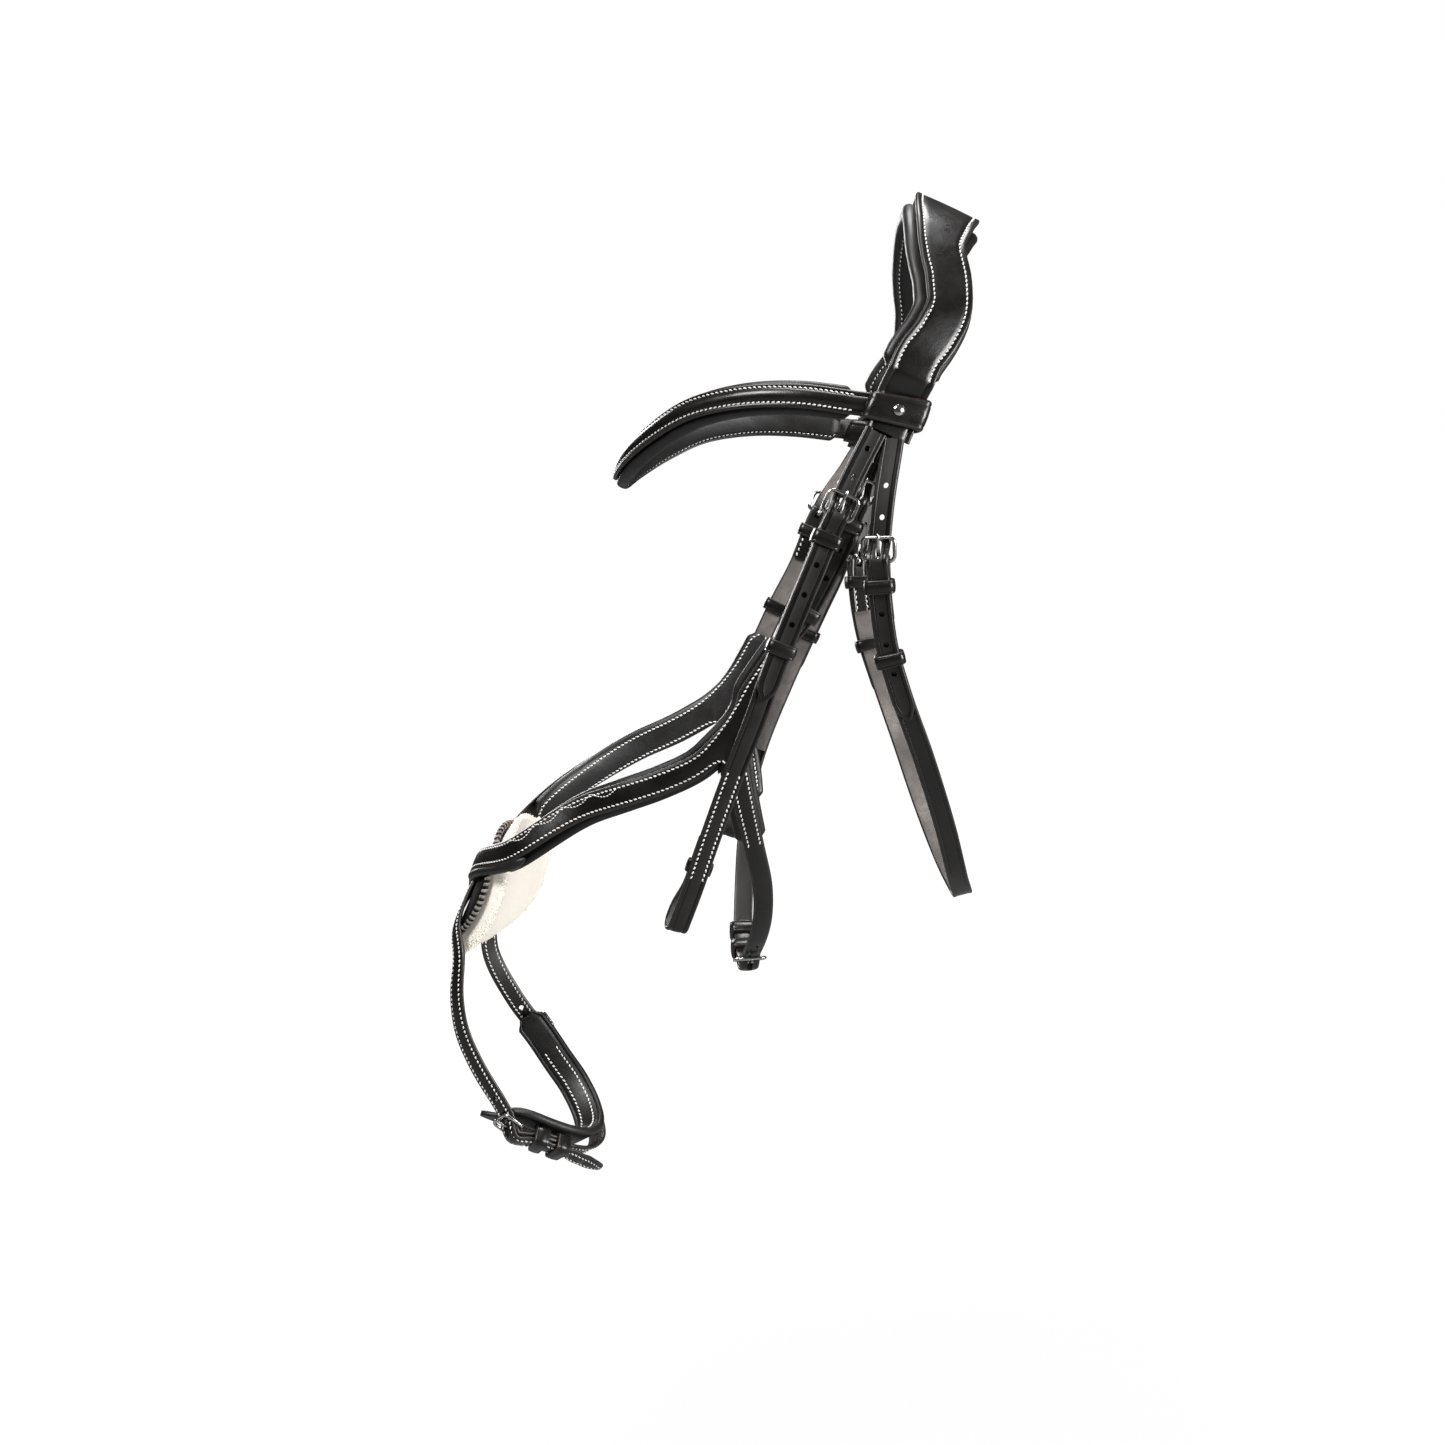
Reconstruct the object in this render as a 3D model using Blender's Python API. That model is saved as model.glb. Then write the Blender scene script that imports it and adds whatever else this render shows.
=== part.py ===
"""Padded bridle with a figure eight noseband, in the shape it has on a horse's head.

Metres. The head faces -X, its near side is -Y, up is +Z. The origin is on the underside of the
crown padding, over the poll. Every strap follows a route: a smooth line through hand-chosen
places on the head, with the side that faces away from the head known all along it.
"""
import math

import bmesh
import bpy
from mathutils import Vector

# Head that the straps go round
HEAD_DEPTH = 0.300
HEAD_HALF_WIDTH = 0.100
HEAD_DROP = 0.500
NOSE_RADIUS = 0.056
NOSE_TURN = math.radians(13.0)
ROUTE_STEPS = 8
# How much of the way round the head a strap on its flat side leans with the head's curve
LEAN_SHARE = 0.6
# Middle of the head, from the poll to the muzzle
POLL_CENTRE_SHARES = (-0.088, 0.000, -0.116)
MUZZLE_CENTRE_SHARES = (-0.842, 0.000, -1.088)
DISC_CENTRE_SHARES = (-0.999, 0.060, -0.854)
THROAT_CENTRE_SHARES = (-0.068, 0.000, -0.548)
JAW_CENTRE_SHARES = (-0.410, 0.000, -0.808)
CHIN_CENTRE_SHARES = (-0.875, 0.000, -1.088)

# Leather
STRAP_WIDTH = 0.0135
STRAP_THICKNESS = 0.0028
CHAPE_THICKNESS = 0.0022
CLEARANCE = 0.0003
EASE = 0.0008
TIP_LENGTH = 0.012
TIP_WIDTH = 0.0045
HOLE_WIDTH = 0.0036
HOLE_PITCH = 0.019
PRONG_HOLE_LENGTH = 0.0105
CUT_OVERRUN = 0.001

# Crown
CROWN_WIDTH = 0.044
CROWN_END_WIDTH = 0.030
CROWN_PADDING_MARGIN = 0.004
CROWN_PADDING_THICKNESS = 0.008
CROWN_PADDING_REACH = 0.139
CROWN_SHOULDER = 0.012
CROWN_WAIST = 0.057
CROWN_RAMP = 0.014
CROWN_RAMP_START = 0.001
CROWN_LAG = 0.002
HEADSTRAP_WIDTH = 0.030
CROWN_END_GAP = 0.0006
CROWN_LAYER_GAP = 0.0012

# Browband
BROW_LEATHER_WIDTH = 0.0145
BROW_PADDING_WIDTH = 0.0205
BROW_PADDING_THICKNESS = 0.0080
BROW_END_MARGIN = 0.004
BROW_REACH = 0.0023
LOOP_LENGTH = 0.0205
LOOP_WALL = 0.0024
LOOP_SIDE_ROOM = 0.0036
LOOP_SETBACK = 0.0010
LOOP_INNER_ROOM = 0.0020

# Buckles and prongs
WIRE = 0.0024
BUCKLE_ROOM = 0.0017
BAR_ROOM = 0.0005
BUCKLE_LENGTH = 0.0140
TOP_ROOM = 0.0016
BUCKLE_CORNER = 0.0035
PRONG_THICKNESS = 0.0018
PRONG_WIDTH = 0.0024
PRONG_OVERHANG = 0.0022
PRONG_SLOT_ROOM = 0.0010
PRONG_TIP_SHARE = 0.7
CHAPE_LENGTH = 0.036
CHAPE_DROP = 0.010
SKIVE = 0.012

# Keepers
KEEPER_LENGTH = 0.0085
KEEPER_WALL = 0.0019
KEEPER_SETBACK = 0.0150
KEEPER_ROOM = 0.0006
RUNNER_ROOM = 0.0006

# Throatlash, cheek and noseband stations, measured along each strap from its buckle bar
CHEEK_RUNNER = 0.085
CHEEK_TIP = 0.118
THROAT_RUNNER = 0.060
THROAT_TIP = 0.100
NOSEBAND_SECOND_KEEPER = 0.074
NOSEBAND_TIP = 0.096
CHIN_SECOND_KEEPER = 0.0290
CHIN_TIP = 0.060
CHIN_TIP_LIFT = 0.0110
JAW_SECOND_KEEPER = 0.030
JAW_TIP = 0.062

# Bit loops at the lower ends of the cheekpieces
BIT_LOOP_RADIUS = 0.0050
BIT_LOOP_CLOSE = 0.032
BIT_LOOP_RETURN = 0.060
BIT_KEEPER_SETBACK = 0.040

# Figure eight noseband
ARM_WIDTH = 0.0150
NOSE_ARM_WIDTH = 0.0160
CROTCH_ROUND = 0.0060
JUNCTION_REACH = 0.0200
NOSE_PAD_MARGIN = 0.0042
NOSE_PAD_THICKNESS = 0.0075
NOSE_PAD_GAP = 0.0014
PAD_ROUND = 0.006
PAD_GAP = 0.003
NOSE_PAD_START = 0.096
REAR_PAD_REACH = 0.078
FLARE_REACH = 0.040
NOSE_ARM_START = 0.050
CROSS_REACH = 0.024
NOSE_SPAN = 0.108
DISC_LEAD = 0.010
DISC_DIAMETER = 0.088
DISC_THICKNESS = 0.0030
DISC_GAP = 0.0005
FLEECE_DIAMETER = 0.108
FLEECE_THICKNESS = 0.0130
FLEECE_GAP = 0.0007

# Chin
CHIN_PAD_MARGIN = 0.0044
CHIN_PAD_THICKNESS = 0.0056
CHIN_PAD_OVERHANG = 0.020

# Places on each route, as shares of the head's depth, half width and drop
HEADSTRAP_HALF_PLACES_SHARES = [
    (0.000, 0.000, 0.000),
    (0.000, -0.090, 0.000),
    (-0.010, -0.250, -0.014),
    (-0.020, -0.400, -0.046),
    (-0.010, -0.520, -0.090),
    (-0.014, -0.600, -0.123),
    (-0.038, -0.660, -0.152),
    (-0.070, -0.712, -0.180),
    (-0.089, -0.752, -0.208),
]
CROWN_END_PLACES_SHARES = [
    (-0.105, -0.785, -0.237),
    (-0.128, -0.810, -0.271),
]
BROW_HALF_PLACES_SHARES = [
    (-0.682, 0.000, -0.302),
    (-0.662, -0.200, -0.288),
    (-0.605, -0.410, -0.262),
    (-0.522, -0.600, -0.236),
    (-0.418, -0.750, -0.224),
    (-0.298, -0.840, -0.224),
    (-0.192, -0.840, -0.232),
]
NEAR_CHEEK_PLACES_SHARES = [
    (-0.149, -0.860, -0.269),
    (-0.192, -0.900, -0.320),
    (-0.228, -0.930, -0.368),
    (-0.265, -0.950, -0.422),
    (-0.308, -0.960, -0.484),
    (-0.348, -0.960, -0.544),
    (-0.388, -0.945, -0.612),
    (-0.432, -0.915, -0.680),
    (-0.482, -0.860, -0.764),
    (-0.518, -0.810, -0.828),
    (-0.545, -0.765, -0.872),
]
FAR_CHEEK_PLACES_SHARES = [
    (-0.131, 0.862, -0.275),
    (-0.138, 0.890, -0.312),
    (-0.158, 0.935, -0.368),
    (-0.195, 0.955, -0.436),
    (-0.235, 0.960, -0.488),
    (-0.275, 0.950, -0.540),
    (-0.315, 0.940, -0.594),
    (-0.382, 0.900, -0.694),
    (-0.413, 0.860, -0.758),
    (-0.437, 0.830, -0.808),
]
NEAR_HANGER_PLACES_SHARES = [
    (-0.152, -0.808, -0.294),
    (-0.185, -0.785, -0.348),
    (-0.232, -0.780, -0.420),
    (-0.285, -0.790, -0.480),
    (-0.345, -0.790, -0.534),
    (-0.392, -0.780, -0.578),
    (-0.428, -0.770, -0.624),
]
FAR_HANGER_PLACES_SHARES = [
    (-0.162, 0.822, -0.286),
    (-0.235, 0.805, -0.352),
    (-0.285, 0.810, -0.426),
    (-0.335, 0.810, -0.484),
    (-0.375, 0.810, -0.536),
    (-0.408, 0.800, -0.576),
    (-0.438, 0.790, -0.612),
]
THROAT_PLACES_SHARES = [
    (-0.113, -0.860, -0.2885),
    (-0.129, -0.885, -0.354),
    (-0.136, -0.875, -0.420),
    (-0.128, -0.845, -0.480),
    (-0.115, -0.800, -0.526),
    (-0.088, -0.750, -0.578),
    (-0.038, -0.640, -0.656),
    (0.018, -0.450, -0.752),
    (0.058, -0.220, -0.830),
    (0.078, 0.000, -0.860),
    (0.058, 0.220, -0.836),
    (0.012, 0.420, -0.764),
    (-0.042, 0.610, -0.666),
    (-0.085, 0.720, -0.590),
    (-0.115, 0.760, -0.534),
    (-0.132, 0.785, -0.482),
    (-0.138, 0.800, -0.420),
    (-0.125, 0.820, -0.368),
    (-0.093, 0.845, -0.293),
]
NEAR_BRANCH_PLACES_SHARES = [
    (-0.498, -0.750, -0.670),
    (-0.582, -0.710, -0.696),
    (-0.662, -0.660, -0.714),
    (-0.738, -0.570, -0.732),
]
FAR_BRANCH_PLACES_SHARES = [
    (-0.498, 0.770, -0.634),
    (-0.578, 0.740, -0.660),
    (-0.665, 0.690, -0.682),
    (-0.748, 0.580, -0.708),
]
NEAR_LOWER_PLACES_SHARES = [
    (-1.023, -0.360, -0.942),
    (-1.027, -0.430, -0.990),
    (-1.019, -0.450, -1.034),
    (-0.993, -0.460, -1.076),
    (-0.953, -0.465, -1.120),
]
FAR_LOWER_PLACES_SHARES = [
    (-1.005, 0.400, -0.976),
    (-0.957, 0.440, -1.045),
]
CHIN_PLACES_SHARES = [
    (-0.892, 0.450, -1.100),
    (-0.853, 0.410, -1.132),
    (-0.805, 0.330, -1.167),
    (-0.767, 0.170, -1.198),
    (-0.755, 0.000, -1.211),
    (-0.769, -0.180, -1.210),
    (-0.808, -0.330, -1.196),
    (-0.855, -0.400, -1.180),
    (-0.905, -0.430, -1.166),
]
CHIN_TAB_PLACES_SHARES = [
    (-0.950, -0.375, -1.172),
    (-1.000, -0.370, -1.165),
]
JAW_PLACES_SHARES = [
    (-0.422, -0.760, -0.678),
    (-0.405, -0.710, -0.732),
    (-0.387, -0.630, -0.784),
    (-0.371, -0.520, -0.834),
    (-0.371, -0.380, -0.886),
    (-0.387, -0.210, -0.930),
    (-0.402, -0.020, -0.952),
    (-0.412, 0.200, -0.936),
    (-0.412, 0.380, -0.884),
    (-0.408, 0.500, -0.828),
    (-0.398, 0.620, -0.764),
    (-0.408, 0.710, -0.704),
    (-0.428, 0.770, -0.652),
]

# Where the crossed arms lie on the nose, along and across it, as shares of the nose's span
NEAR_ARM_NOSE_SHARES = [(-0.40, -0.50), (-0.22, -0.26), (0.00, 0.00), (0.18, 0.14), (0.36, 0.28)]
FAR_ARM_NOSE_SHARES = [(-0.60, 0.36), (-0.34, 0.19), (0.00, 0.00), (0.13, -0.11), (0.26, -0.26)]

# How much of a free end's lift it has gained where its tip starts
LIFT_SHARE = 0.3
# A billet's last stretch: share of the tip's length against share of its narrowing
TIP_SHARES = [(0.0, 0.0), (0.45, 0.22), (0.80, 0.62), (1.0, 1.0)]
# Strap section: share of half width against share of thickness
STRAP_SHARES = [(-0.95, 0.5), (0.95, 0.5), (1.0, 0.0), (0.95, -0.5), (-0.95, -0.5), (-1.0, 0.0)]
PLATE_SHARES = [(-0.95, 0.5), (0.0, 0.5), (0.95, 0.5), (1.0, 0.0),
                (0.95, -0.5), (0.0, -0.5), (-0.95, -0.5), (-1.0, 0.0)]
PAD_SHARES = [(-0.80, 0.5), (0.0, 0.5), (0.80, 0.5), (1.0, 0.05),
              (0.74, -0.36), (0.0, -0.5), (-0.74, -0.36), (-1.0, 0.05)]
CROWN_PAD_SHARES = [(-0.84, 0.42), (-0.55, 0.5), (0.55, 0.5), (0.84, 0.42), (1.0, 0.0),
                    (0.80, -0.42), (0.36, -0.5), (-0.36, -0.5), (-0.80, -0.42), (-1.0, 0.0)]

# How far a swinging billet's round end reaches, against its size there
ROUND_END_SHARES = [(1.0, 0.26), (0.87, 0.50), (0.50, 0.87), (0.0, 1.0)]
# A pad's size at its drawn-in end
PAD_END_SHARE = 0.6
# Disc sections, as shares of radius and thickness, from the middle of one face round to the other
DISC_SHARES = [(0.14, 1.0), (0.42, 1.0), (0.72, 1.0), (0.98, 1.0), (1.0, 0.5),
               (0.98, 0.0), (0.72, 0.0), (0.42, 0.0), (0.14, 0.0)]
FLEECE_SHARES = [(0.14, 0.0), (0.42, 0.0), (0.72, 0.0), (0.94, 0.0), (1.0, 0.28),
                 (0.93, 0.66), (0.72, 0.9), (0.42, 1.0), (0.14, 1.0)]

# Which place of its route each bar lies at, and which one the crossing
HANGER_BAR = 1
CHEEK_BAR = 2
THROAT_BAR = 2
JAW_BAR = 7
CROSSING = 7

# Steps that the solids are made in
SHARP_ANGLE = 40.0
STRAIGHT_ANGLE = 75.0
DISC_SIDES = 20
LARGEST_STEP = 0.024
SMALLEST_STEP = 0.004
SAG = 0.00028
RISE_STEPS = 4
TURN_STEPS = 5
WIRE_SIDES = 6
EYE_SIDES = 8
HOLE_SIDES = 6
CORNER_STEPS = 3


def in_head(shares):
    """The point that lies at these shares of the head's depth, half width and drop."""
    x, y, z = shares
    return Vector((x * HEAD_DEPTH, y * HEAD_HALF_WIDTH, z * HEAD_DROP))


POLL_CENTRE = in_head(POLL_CENTRE_SHARES)
MUZZLE_CENTRE = in_head(MUZZLE_CENTRE_SHARES)
HEAD_LINE = (MUZZLE_CENTRE - POLL_CENTRE).normalized()
NOSE_SIDE = Vector((math.sin(NOSE_TURN), math.cos(NOSE_TURN), 0.0))
NOSE_DOWN = (HEAD_LINE - NOSE_SIDE * HEAD_LINE.dot(NOSE_SIDE)).normalized()
NOSE_FRONT = NOSE_SIDE.cross(NOSE_DOWN).normalized()
DISC_CENTRE = in_head(DISC_CENTRE_SHARES)


def away_from_head(point):
    """Outward side at a point, seen from the line through the middle of the head."""
    reach = (MUZZLE_CENTRE - POLL_CENTRE).length
    along = max(0.0, min(reach, (point - POLL_CENTRE).dot(HEAD_LINE)))
    away = point - (POLL_CENTRE + HEAD_LINE * along)
    return Vector((away.x * LEAN_SHARE, away.y, away.z * LEAN_SHARE)).normalized()


def places(shares, about=None):
    """Points of a route, each with its outward side."""
    result = []
    for share in shares:
        point = in_head(share)
        away = away_from_head(point) if about is None else (point - in_head(about)).normalized()
        result.append((point, away))
    return result


def nose_places(shares):
    """Points on the bent face of the nose disc, each with its outward side."""
    result = []
    for along, across in shares:
        angle = across * NOSE_SPAN / NOSE_RADIUS
        away = NOSE_FRONT * math.cos(angle) + NOSE_SIDE * math.sin(angle)
        axis = DISC_CENTRE - NOSE_FRONT * NOSE_RADIUS
        result.append((axis + NOSE_DOWN * along * NOSE_SPAN + away * NOSE_RADIUS, away))
    return result


class Route:
    """A smooth line through places, measured by the distance along it."""

    def __init__(self, stops):
        points = [point for point, away in stops]
        gaps = [(b - a).length for a, b in zip(points, points[1:])]
        chords = [(b - a) / gap for a, b, gap in zip(points, points[1:], gaps)]
        slopes = [chords[0]]
        for i in range(1, len(chords)):
            before, after = gaps[i - 1], gaps[i]
            slopes.append((chords[i - 1] * after + chords[i] * before) / (before + after))
        slopes.append(chords[-1])
        self.points, self.sides, self.marks = [], [], []
        for i, gap in enumerate(gaps):
            self.marks.append(i * ROUTE_STEPS)
            for step in range(ROUTE_STEPS):
                t = step / ROUTE_STEPS
                start = points[i] * (2 * t ** 3 - 3 * t ** 2 + 1) + slopes[i] * gap * (t ** 3 - 2 * t ** 2 + t)
                end = points[i + 1] * (3 * t ** 2 - 2 * t ** 3) + slopes[i + 1] * gap * (t ** 3 - t ** 2)
                self.points.append(start + end)
                self.sides.append(stops[i][1].lerp(stops[i + 1][1], t))
        self.points.append(points[-1])
        self.sides.append(stops[-1][1])
        self.marks.append(len(gaps) * ROUTE_STEPS)
        self.lengths = [0.0]
        for a, b in zip(self.points, self.points[1:]):
            self.lengths.append(self.lengths[-1] + (b - a).length)
        self.length = self.lengths[-1]

    def mark(self, number):
        """Distance along the route to one of its places."""
        return self.lengths[self.marks[number]]

    def heading(self, i):
        """Direction of the route at one of its sample points."""
        last = len(self.points) - 1
        return (self.points[min(i + 1, last)] - self.points[max(i - 1, 0)]).normalized()

    def frame(self, s):
        """Point, direction, direction across and outward direction at a distance along the route."""
        last = len(self.points) - 2
        i = 0
        while i < last and self.lengths[i + 1] < s:
            i += 1
        share = (s - self.lengths[i]) / (self.lengths[i + 1] - self.lengths[i])
        point = self.points[i].lerp(self.points[i + 1], share)
        within = max(0.0, min(1.0, share))
        along = self.heading(i).lerp(self.heading(i + 1), within).normalized()
        side = self.sides[i].lerp(self.sides[i + 1], within)
        out = (side - along * side.dot(along)).normalized()
        return point, along, along.cross(out), out

    def step(self, s):
        """Length of a facet at a distance along the route, shorter where it bends more."""
        turn = self.frame(s)[1].angle(self.frame(s + SMALLEST_STEP)[1])
        if turn < 1e-6:
            return LARGEST_STEP
        return max(SMALLEST_STEP, min(LARGEST_STEP, math.sqrt(8.0 * SAG * SMALLEST_STEP / turn)))


def distances(route, start, end):
    """Distances from start to end, closer together where the route bends."""
    way = 1.0 if end > start else -1.0
    found = [start]
    while abs(end - found[-1]) > route.step(found[-1]):
        found.append(found[-1] + way * route.step(found[-1]))
    reached = found[-1] + way * route.step(found[-1])
    return [start + (s - start) * (end - start) / (reached - start) for s in found] + [end]


def run(route, keys):
    """Stations of a strap through (distance, height, width, thickness) keys, eased between them."""
    stations = []
    for first, last in zip(keys, keys[1:]):
        stops = distances(route, first[0], last[0])
        if first[1:] != last[1:] and len(stops) <= RISE_STEPS:
            length = last[0] - first[0]
            stops = [first[0] + length * i / RISE_STEPS for i in range(RISE_STEPS + 1)]
        for s in stops[:-1]:
            share = (s - first[0]) / (last[0] - first[0])
            share = share * share * (3 - 2 * share)
            stations.append((s, *(a + (b - a) * share for a, b in zip(first[1:], last[1:]))))
    stations.append(keys[-1])
    return stations


def pointed(stations, way, lift):
    """Stations with the last one carried on into a billet's narrowed tip."""
    s, n, width, thickness = stations[-1]
    for reach, narrowing in TIP_SHARES[1:]:
        narrow = width + (TIP_WIDTH - width) * narrowing
        stations.append((s + way * TIP_LENGTH * reach, n + lift * reach, narrow, thickness))
    return stations


def turn(s, n, radius, way):
    """Stations round a bar from the inner layer to the outer one, on the side the billet comes from."""
    return [(s - way * radius * math.sin(angle), n - radius * math.cos(angle))
            for angle in (math.pi * i / TURN_STEPS for i in range(TURN_STEPS + 1))]


def section(route, station, ahead, behind, profile):
    """Points of one strap section, square to the line from the station before to the one after."""
    s, n, width, thickness = station
    point, along, across, out = route.frame(s)
    before = route.frame(behind[0])
    after = route.frame(ahead[0])
    line = after[0] + after[3] * ahead[1] - before[0] - before[3] * behind[1]
    line = (line - across * line.dot(across)).normalized()
    up = across.cross(line)
    middle = point + out * n
    return [middle + across * (a * width / 2) + up * (b * thickness) for a, b in profile]


def sections(route, stations, profile=STRAP_SHARES):
    """Points of all the sections of a strap, in order."""
    last = len(stations) - 1
    return [section(route, station, stations[min(i + 1, last)], stations[max(i - 1, 0)], profile)
            for i, station in enumerate(stations)]


def skin(rings, closed=False):
    """Points and faces of a skin over rings of points, capped at both ends unless it is closed."""
    count = len(rings[0])
    points = [point for ring in rings for point in ring]
    faces = []
    spans = len(rings) if closed else len(rings) - 1
    for i in range(spans):
        a = i * count
        b = (i + 1) % len(rings) * count
        for j in range(count):
            k = (j + 1) % count
            faces.append((a + j, a + k, b + k, b + j))
    if not closed:
        faces.append(tuple(range(count)))
        faces.append(tuple(range(len(points) - count, len(points))))
    return points, faces


def joined(*shapes):
    """Several shapes of points and faces as one."""
    points, faces = [], []
    for more_points, more_faces in shapes:
        start = len(points)
        points += more_points
        faces += [tuple(start + i for i in face) for face in more_faces]
    return points, faces


def material(name, colour, roughness, metallic):
    """A plain Principled material."""
    made = bpy.data.materials.new(name)
    made.use_nodes = True
    shader = made.node_tree.nodes["Principled BSDF"]
    shader.inputs["Base Color"].default_value = (*colour, 1.0)
    shader.inputs["Roughness"].default_value = roughness
    shader.inputs["Metallic"].default_value = metallic
    return made


def body(name, origin, parent=None):
    """An empty on a joint's axis, which carries the pieces that move with it."""
    empty = bpy.data.objects.new(name, None)
    bpy.context.collection.objects.link(empty)
    empty.location = origin - (Vector(parent["at"]) if parent else Vector())
    empty.parent = parent
    empty["at"] = origin
    return empty


def piece(name, shape, finish, parent=None, origin=None):
    """One named solid, or one group of separate solids, with its origin where it turns."""
    points, faces = shape
    carried = Vector(parent["at"]) if parent else Vector()
    at = origin if origin is not None else carried
    mesh = bpy.data.meshes.new(name)
    mesh.from_pydata([point - at for point in points], [], faces)
    work = bmesh.new()
    work.from_mesh(mesh)
    bmesh.ops.recalc_face_normals(work, faces=work.faces)
    work.to_mesh(mesh)
    work.free()
    mesh.shade_smooth()
    mesh.set_sharp_from_angle(angle=math.radians(SHARP_ANGLE))
    obj = bpy.data.objects.new(name, mesh)
    bpy.context.collection.objects.link(obj)
    obj.location = at - carried
    obj.parent = parent
    mesh.materials.append(finish)
    return obj


def box(route, s0, s1, half_width, n0, n1):
    """A straight block along a route, for cutting."""
    point, along, across, out = route.frame((s0 + s1) / 2)
    half = (s1 - s0) / 2
    rings = []
    for n in (n0, n1):
        corners = [(-half, -half_width), (half, -half_width), (half, half_width), (-half, half_width)]
        rings.append([point + along * a + across * w + out * n for a, w in corners])
    return skin(rings)


def cut(obj, name, shapes):
    """Cut shapes out of a solid, with a hidden cutter."""
    at = obj.matrix_world.translation if obj.parent is None else Vector(obj.parent["at"]) + obj.location
    points, faces = joined(*shapes)
    mesh = bpy.data.meshes.new(name)
    mesh.from_pydata([point - at for point in points], [], faces)
    work = bmesh.new()
    work.from_mesh(mesh)
    bmesh.ops.recalc_face_normals(work, faces=work.faces)
    work.to_mesh(mesh)
    work.free()
    cutter = bpy.data.objects.new(name, mesh)
    bpy.context.collection.objects.link(cutter)
    cutter.location = obj.location
    cutter.parent = obj.parent
    cutter.hide_render = True
    cutter.display_type = "WIRE"
    boolean = obj.modifiers.new(name, "BOOLEAN")
    boolean.operation = "DIFFERENCE"
    boolean.solver = "EXACT"
    boolean.object = cutter


class Fastening:
    """A buckle on a route. The billet comes over the bar in the direction of way."""

    def __init__(self, route, bar, way, base=0.0):
        self.route, self.bar, self.way, self.base = route, bar, way, base
        self.bar_height = base + CHAPE_THICKNESS + BAR_ROOM + WIRE / 2
        self.fold_radius = WIRE / 2 + BAR_ROOM + CHAPE_THICKNESS / 2
        self.inner = base + CHAPE_THICKNESS / 2
        self.outer = self.inner + CHAPE_THICKNESS + CLEARANCE
        self.over_bar = self.bar_height + self.fold_radius + (CHAPE_THICKNESS + STRAP_THICKNESS) / 2 + EASE
        self.on_stack = self.outer + (CHAPE_THICKNESS + STRAP_THICKNESS) / 2 + EASE
        self.under_top = base + STRAP_THICKNESS / 2
        self.top_height = self.under_top + STRAP_THICKNESS / 2 + TOP_ROOM + WIRE / 2
        self.top = self.on_stack + STRAP_THICKNESS / 2
        self.eye = WIRE / 2 + CLEARANCE + PRONG_THICKNESS

    def at(self, q):
        """Distance on the route of a place q beyond the bar."""
        return self.bar + self.way * q

    def pivot(self):
        """Middle of the bar, and the direction of the bar."""
        point, along, across, out = self.route.frame(self.bar)
        return point + out * self.bar_height, across

    def leg(self, height):
        """From the bar to a height at the frame's other end, square to the bar."""
        middle, bar = self.pivot()
        point, along, across, out = self.route.frame(self.at(-BUCKLE_LENGTH))
        reach = point + out * height - middle
        return reach - bar * reach.dot(bar)

    def billet(self, before, tip, lift=0.0):
        """Stations of the billet from the keys before the buckle, over the bar and down to its tip."""
        heights = [(-BUCKLE_LENGTH - WIRE / 2, self.under_top), (-BUCKLE_LENGTH + WIRE / 2, self.under_top),
                   (0.0, self.over_bar), (CHAPE_DROP, self.on_stack)]
        if lift:
            heights.append((tip - 2 * TIP_LENGTH, self.on_stack))
        heights.append((tip - TIP_LENGTH, self.on_stack + lift * LIFT_SHARE))
        keys = [(self.at(q), n, STRAP_WIDTH, STRAP_THICKNESS) for q, n in heights]
        return pointed(run(self.route, before + keys), self.way, lift * (1.0 - LIFT_SHARE))

    def chape(self, width=STRAP_WIDTH):
        """Stations of the folded strap, from the end of its inner layer round the bar and down."""
        size = (width, CHAPE_THICKNESS)
        skived = (self.inner - CHAPE_THICKNESS / 4, width, CHAPE_THICKNESS / 2)
        inner = run(self.route, [(self.at(CHAPE_LENGTH), *skived), (self.at(CHAPE_LENGTH - SKIVE), self.inner, *size),
                                 (self.at(CHAPE_DROP / 2), self.inner, *size)])
        fold = [(s, n, *size) for s, n in turn(self.bar, self.bar_height, self.fold_radius, self.way)]
        outer = run(self.route, [(self.at(CHAPE_DROP), self.outer, *size),
                                 (self.at(CHAPE_LENGTH), self.outer, *size)])
        return inner + fold + outer

    def slot(self):
        """Cutter for the prong's slot in the fold."""
        reach = self.eye + PRONG_SLOT_ROOM
        ends = sorted((self.at(-reach - CHAPE_THICKNESS), self.at(reach)))
        low = self.base - CUT_OVERRUN
        high = self.bar_height + self.fold_radius + CHAPE_THICKNESS
        return box(self.route, ends[0], ends[1], PRONG_WIDTH / 2 + PRONG_SLOT_ROOM, low, high)

    def holes(self, before, after):
        """Cutters for the billet's holes, the longest under the prong."""
        shapes = []
        for number in range(-before, after + 1):
            q = -BUCKLE_LENGTH / 2 + number * HOLE_PITCH
            if number:
                shapes.append(self.hole(self.at(q), 0.0, HOLE_WIDTH))
            else:
                shapes.append(self.hole(self.bar, self.way * q, PRONG_HOLE_LENGTH))
        return shapes

    def hole(self, s, shift, length):
        """A cutter with round ends, square to the route at s and moved straight on from there."""
        point, along, across, out = self.route.frame(s)
        point = point + along * shift
        straight = (length - HOLE_WIDTH) / 2
        rings = []
        for n in (self.base - CUT_OVERRUN, self.over_bar + STRAP_THICKNESS + CUT_OVERRUN):
            ring = []
            for i in range(HOLE_SIDES):
                angle = 2 * math.pi * (i + 0.5) / HOLE_SIDES
                a = HOLE_WIDTH / 2 * math.sin(angle)
                a += straight if a > 0 else -straight
                ring.append(point + along * a + across * (HOLE_WIDTH / 2 * math.cos(angle)) + out * n)
            rings.append(ring)
        return skin(rings)

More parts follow.
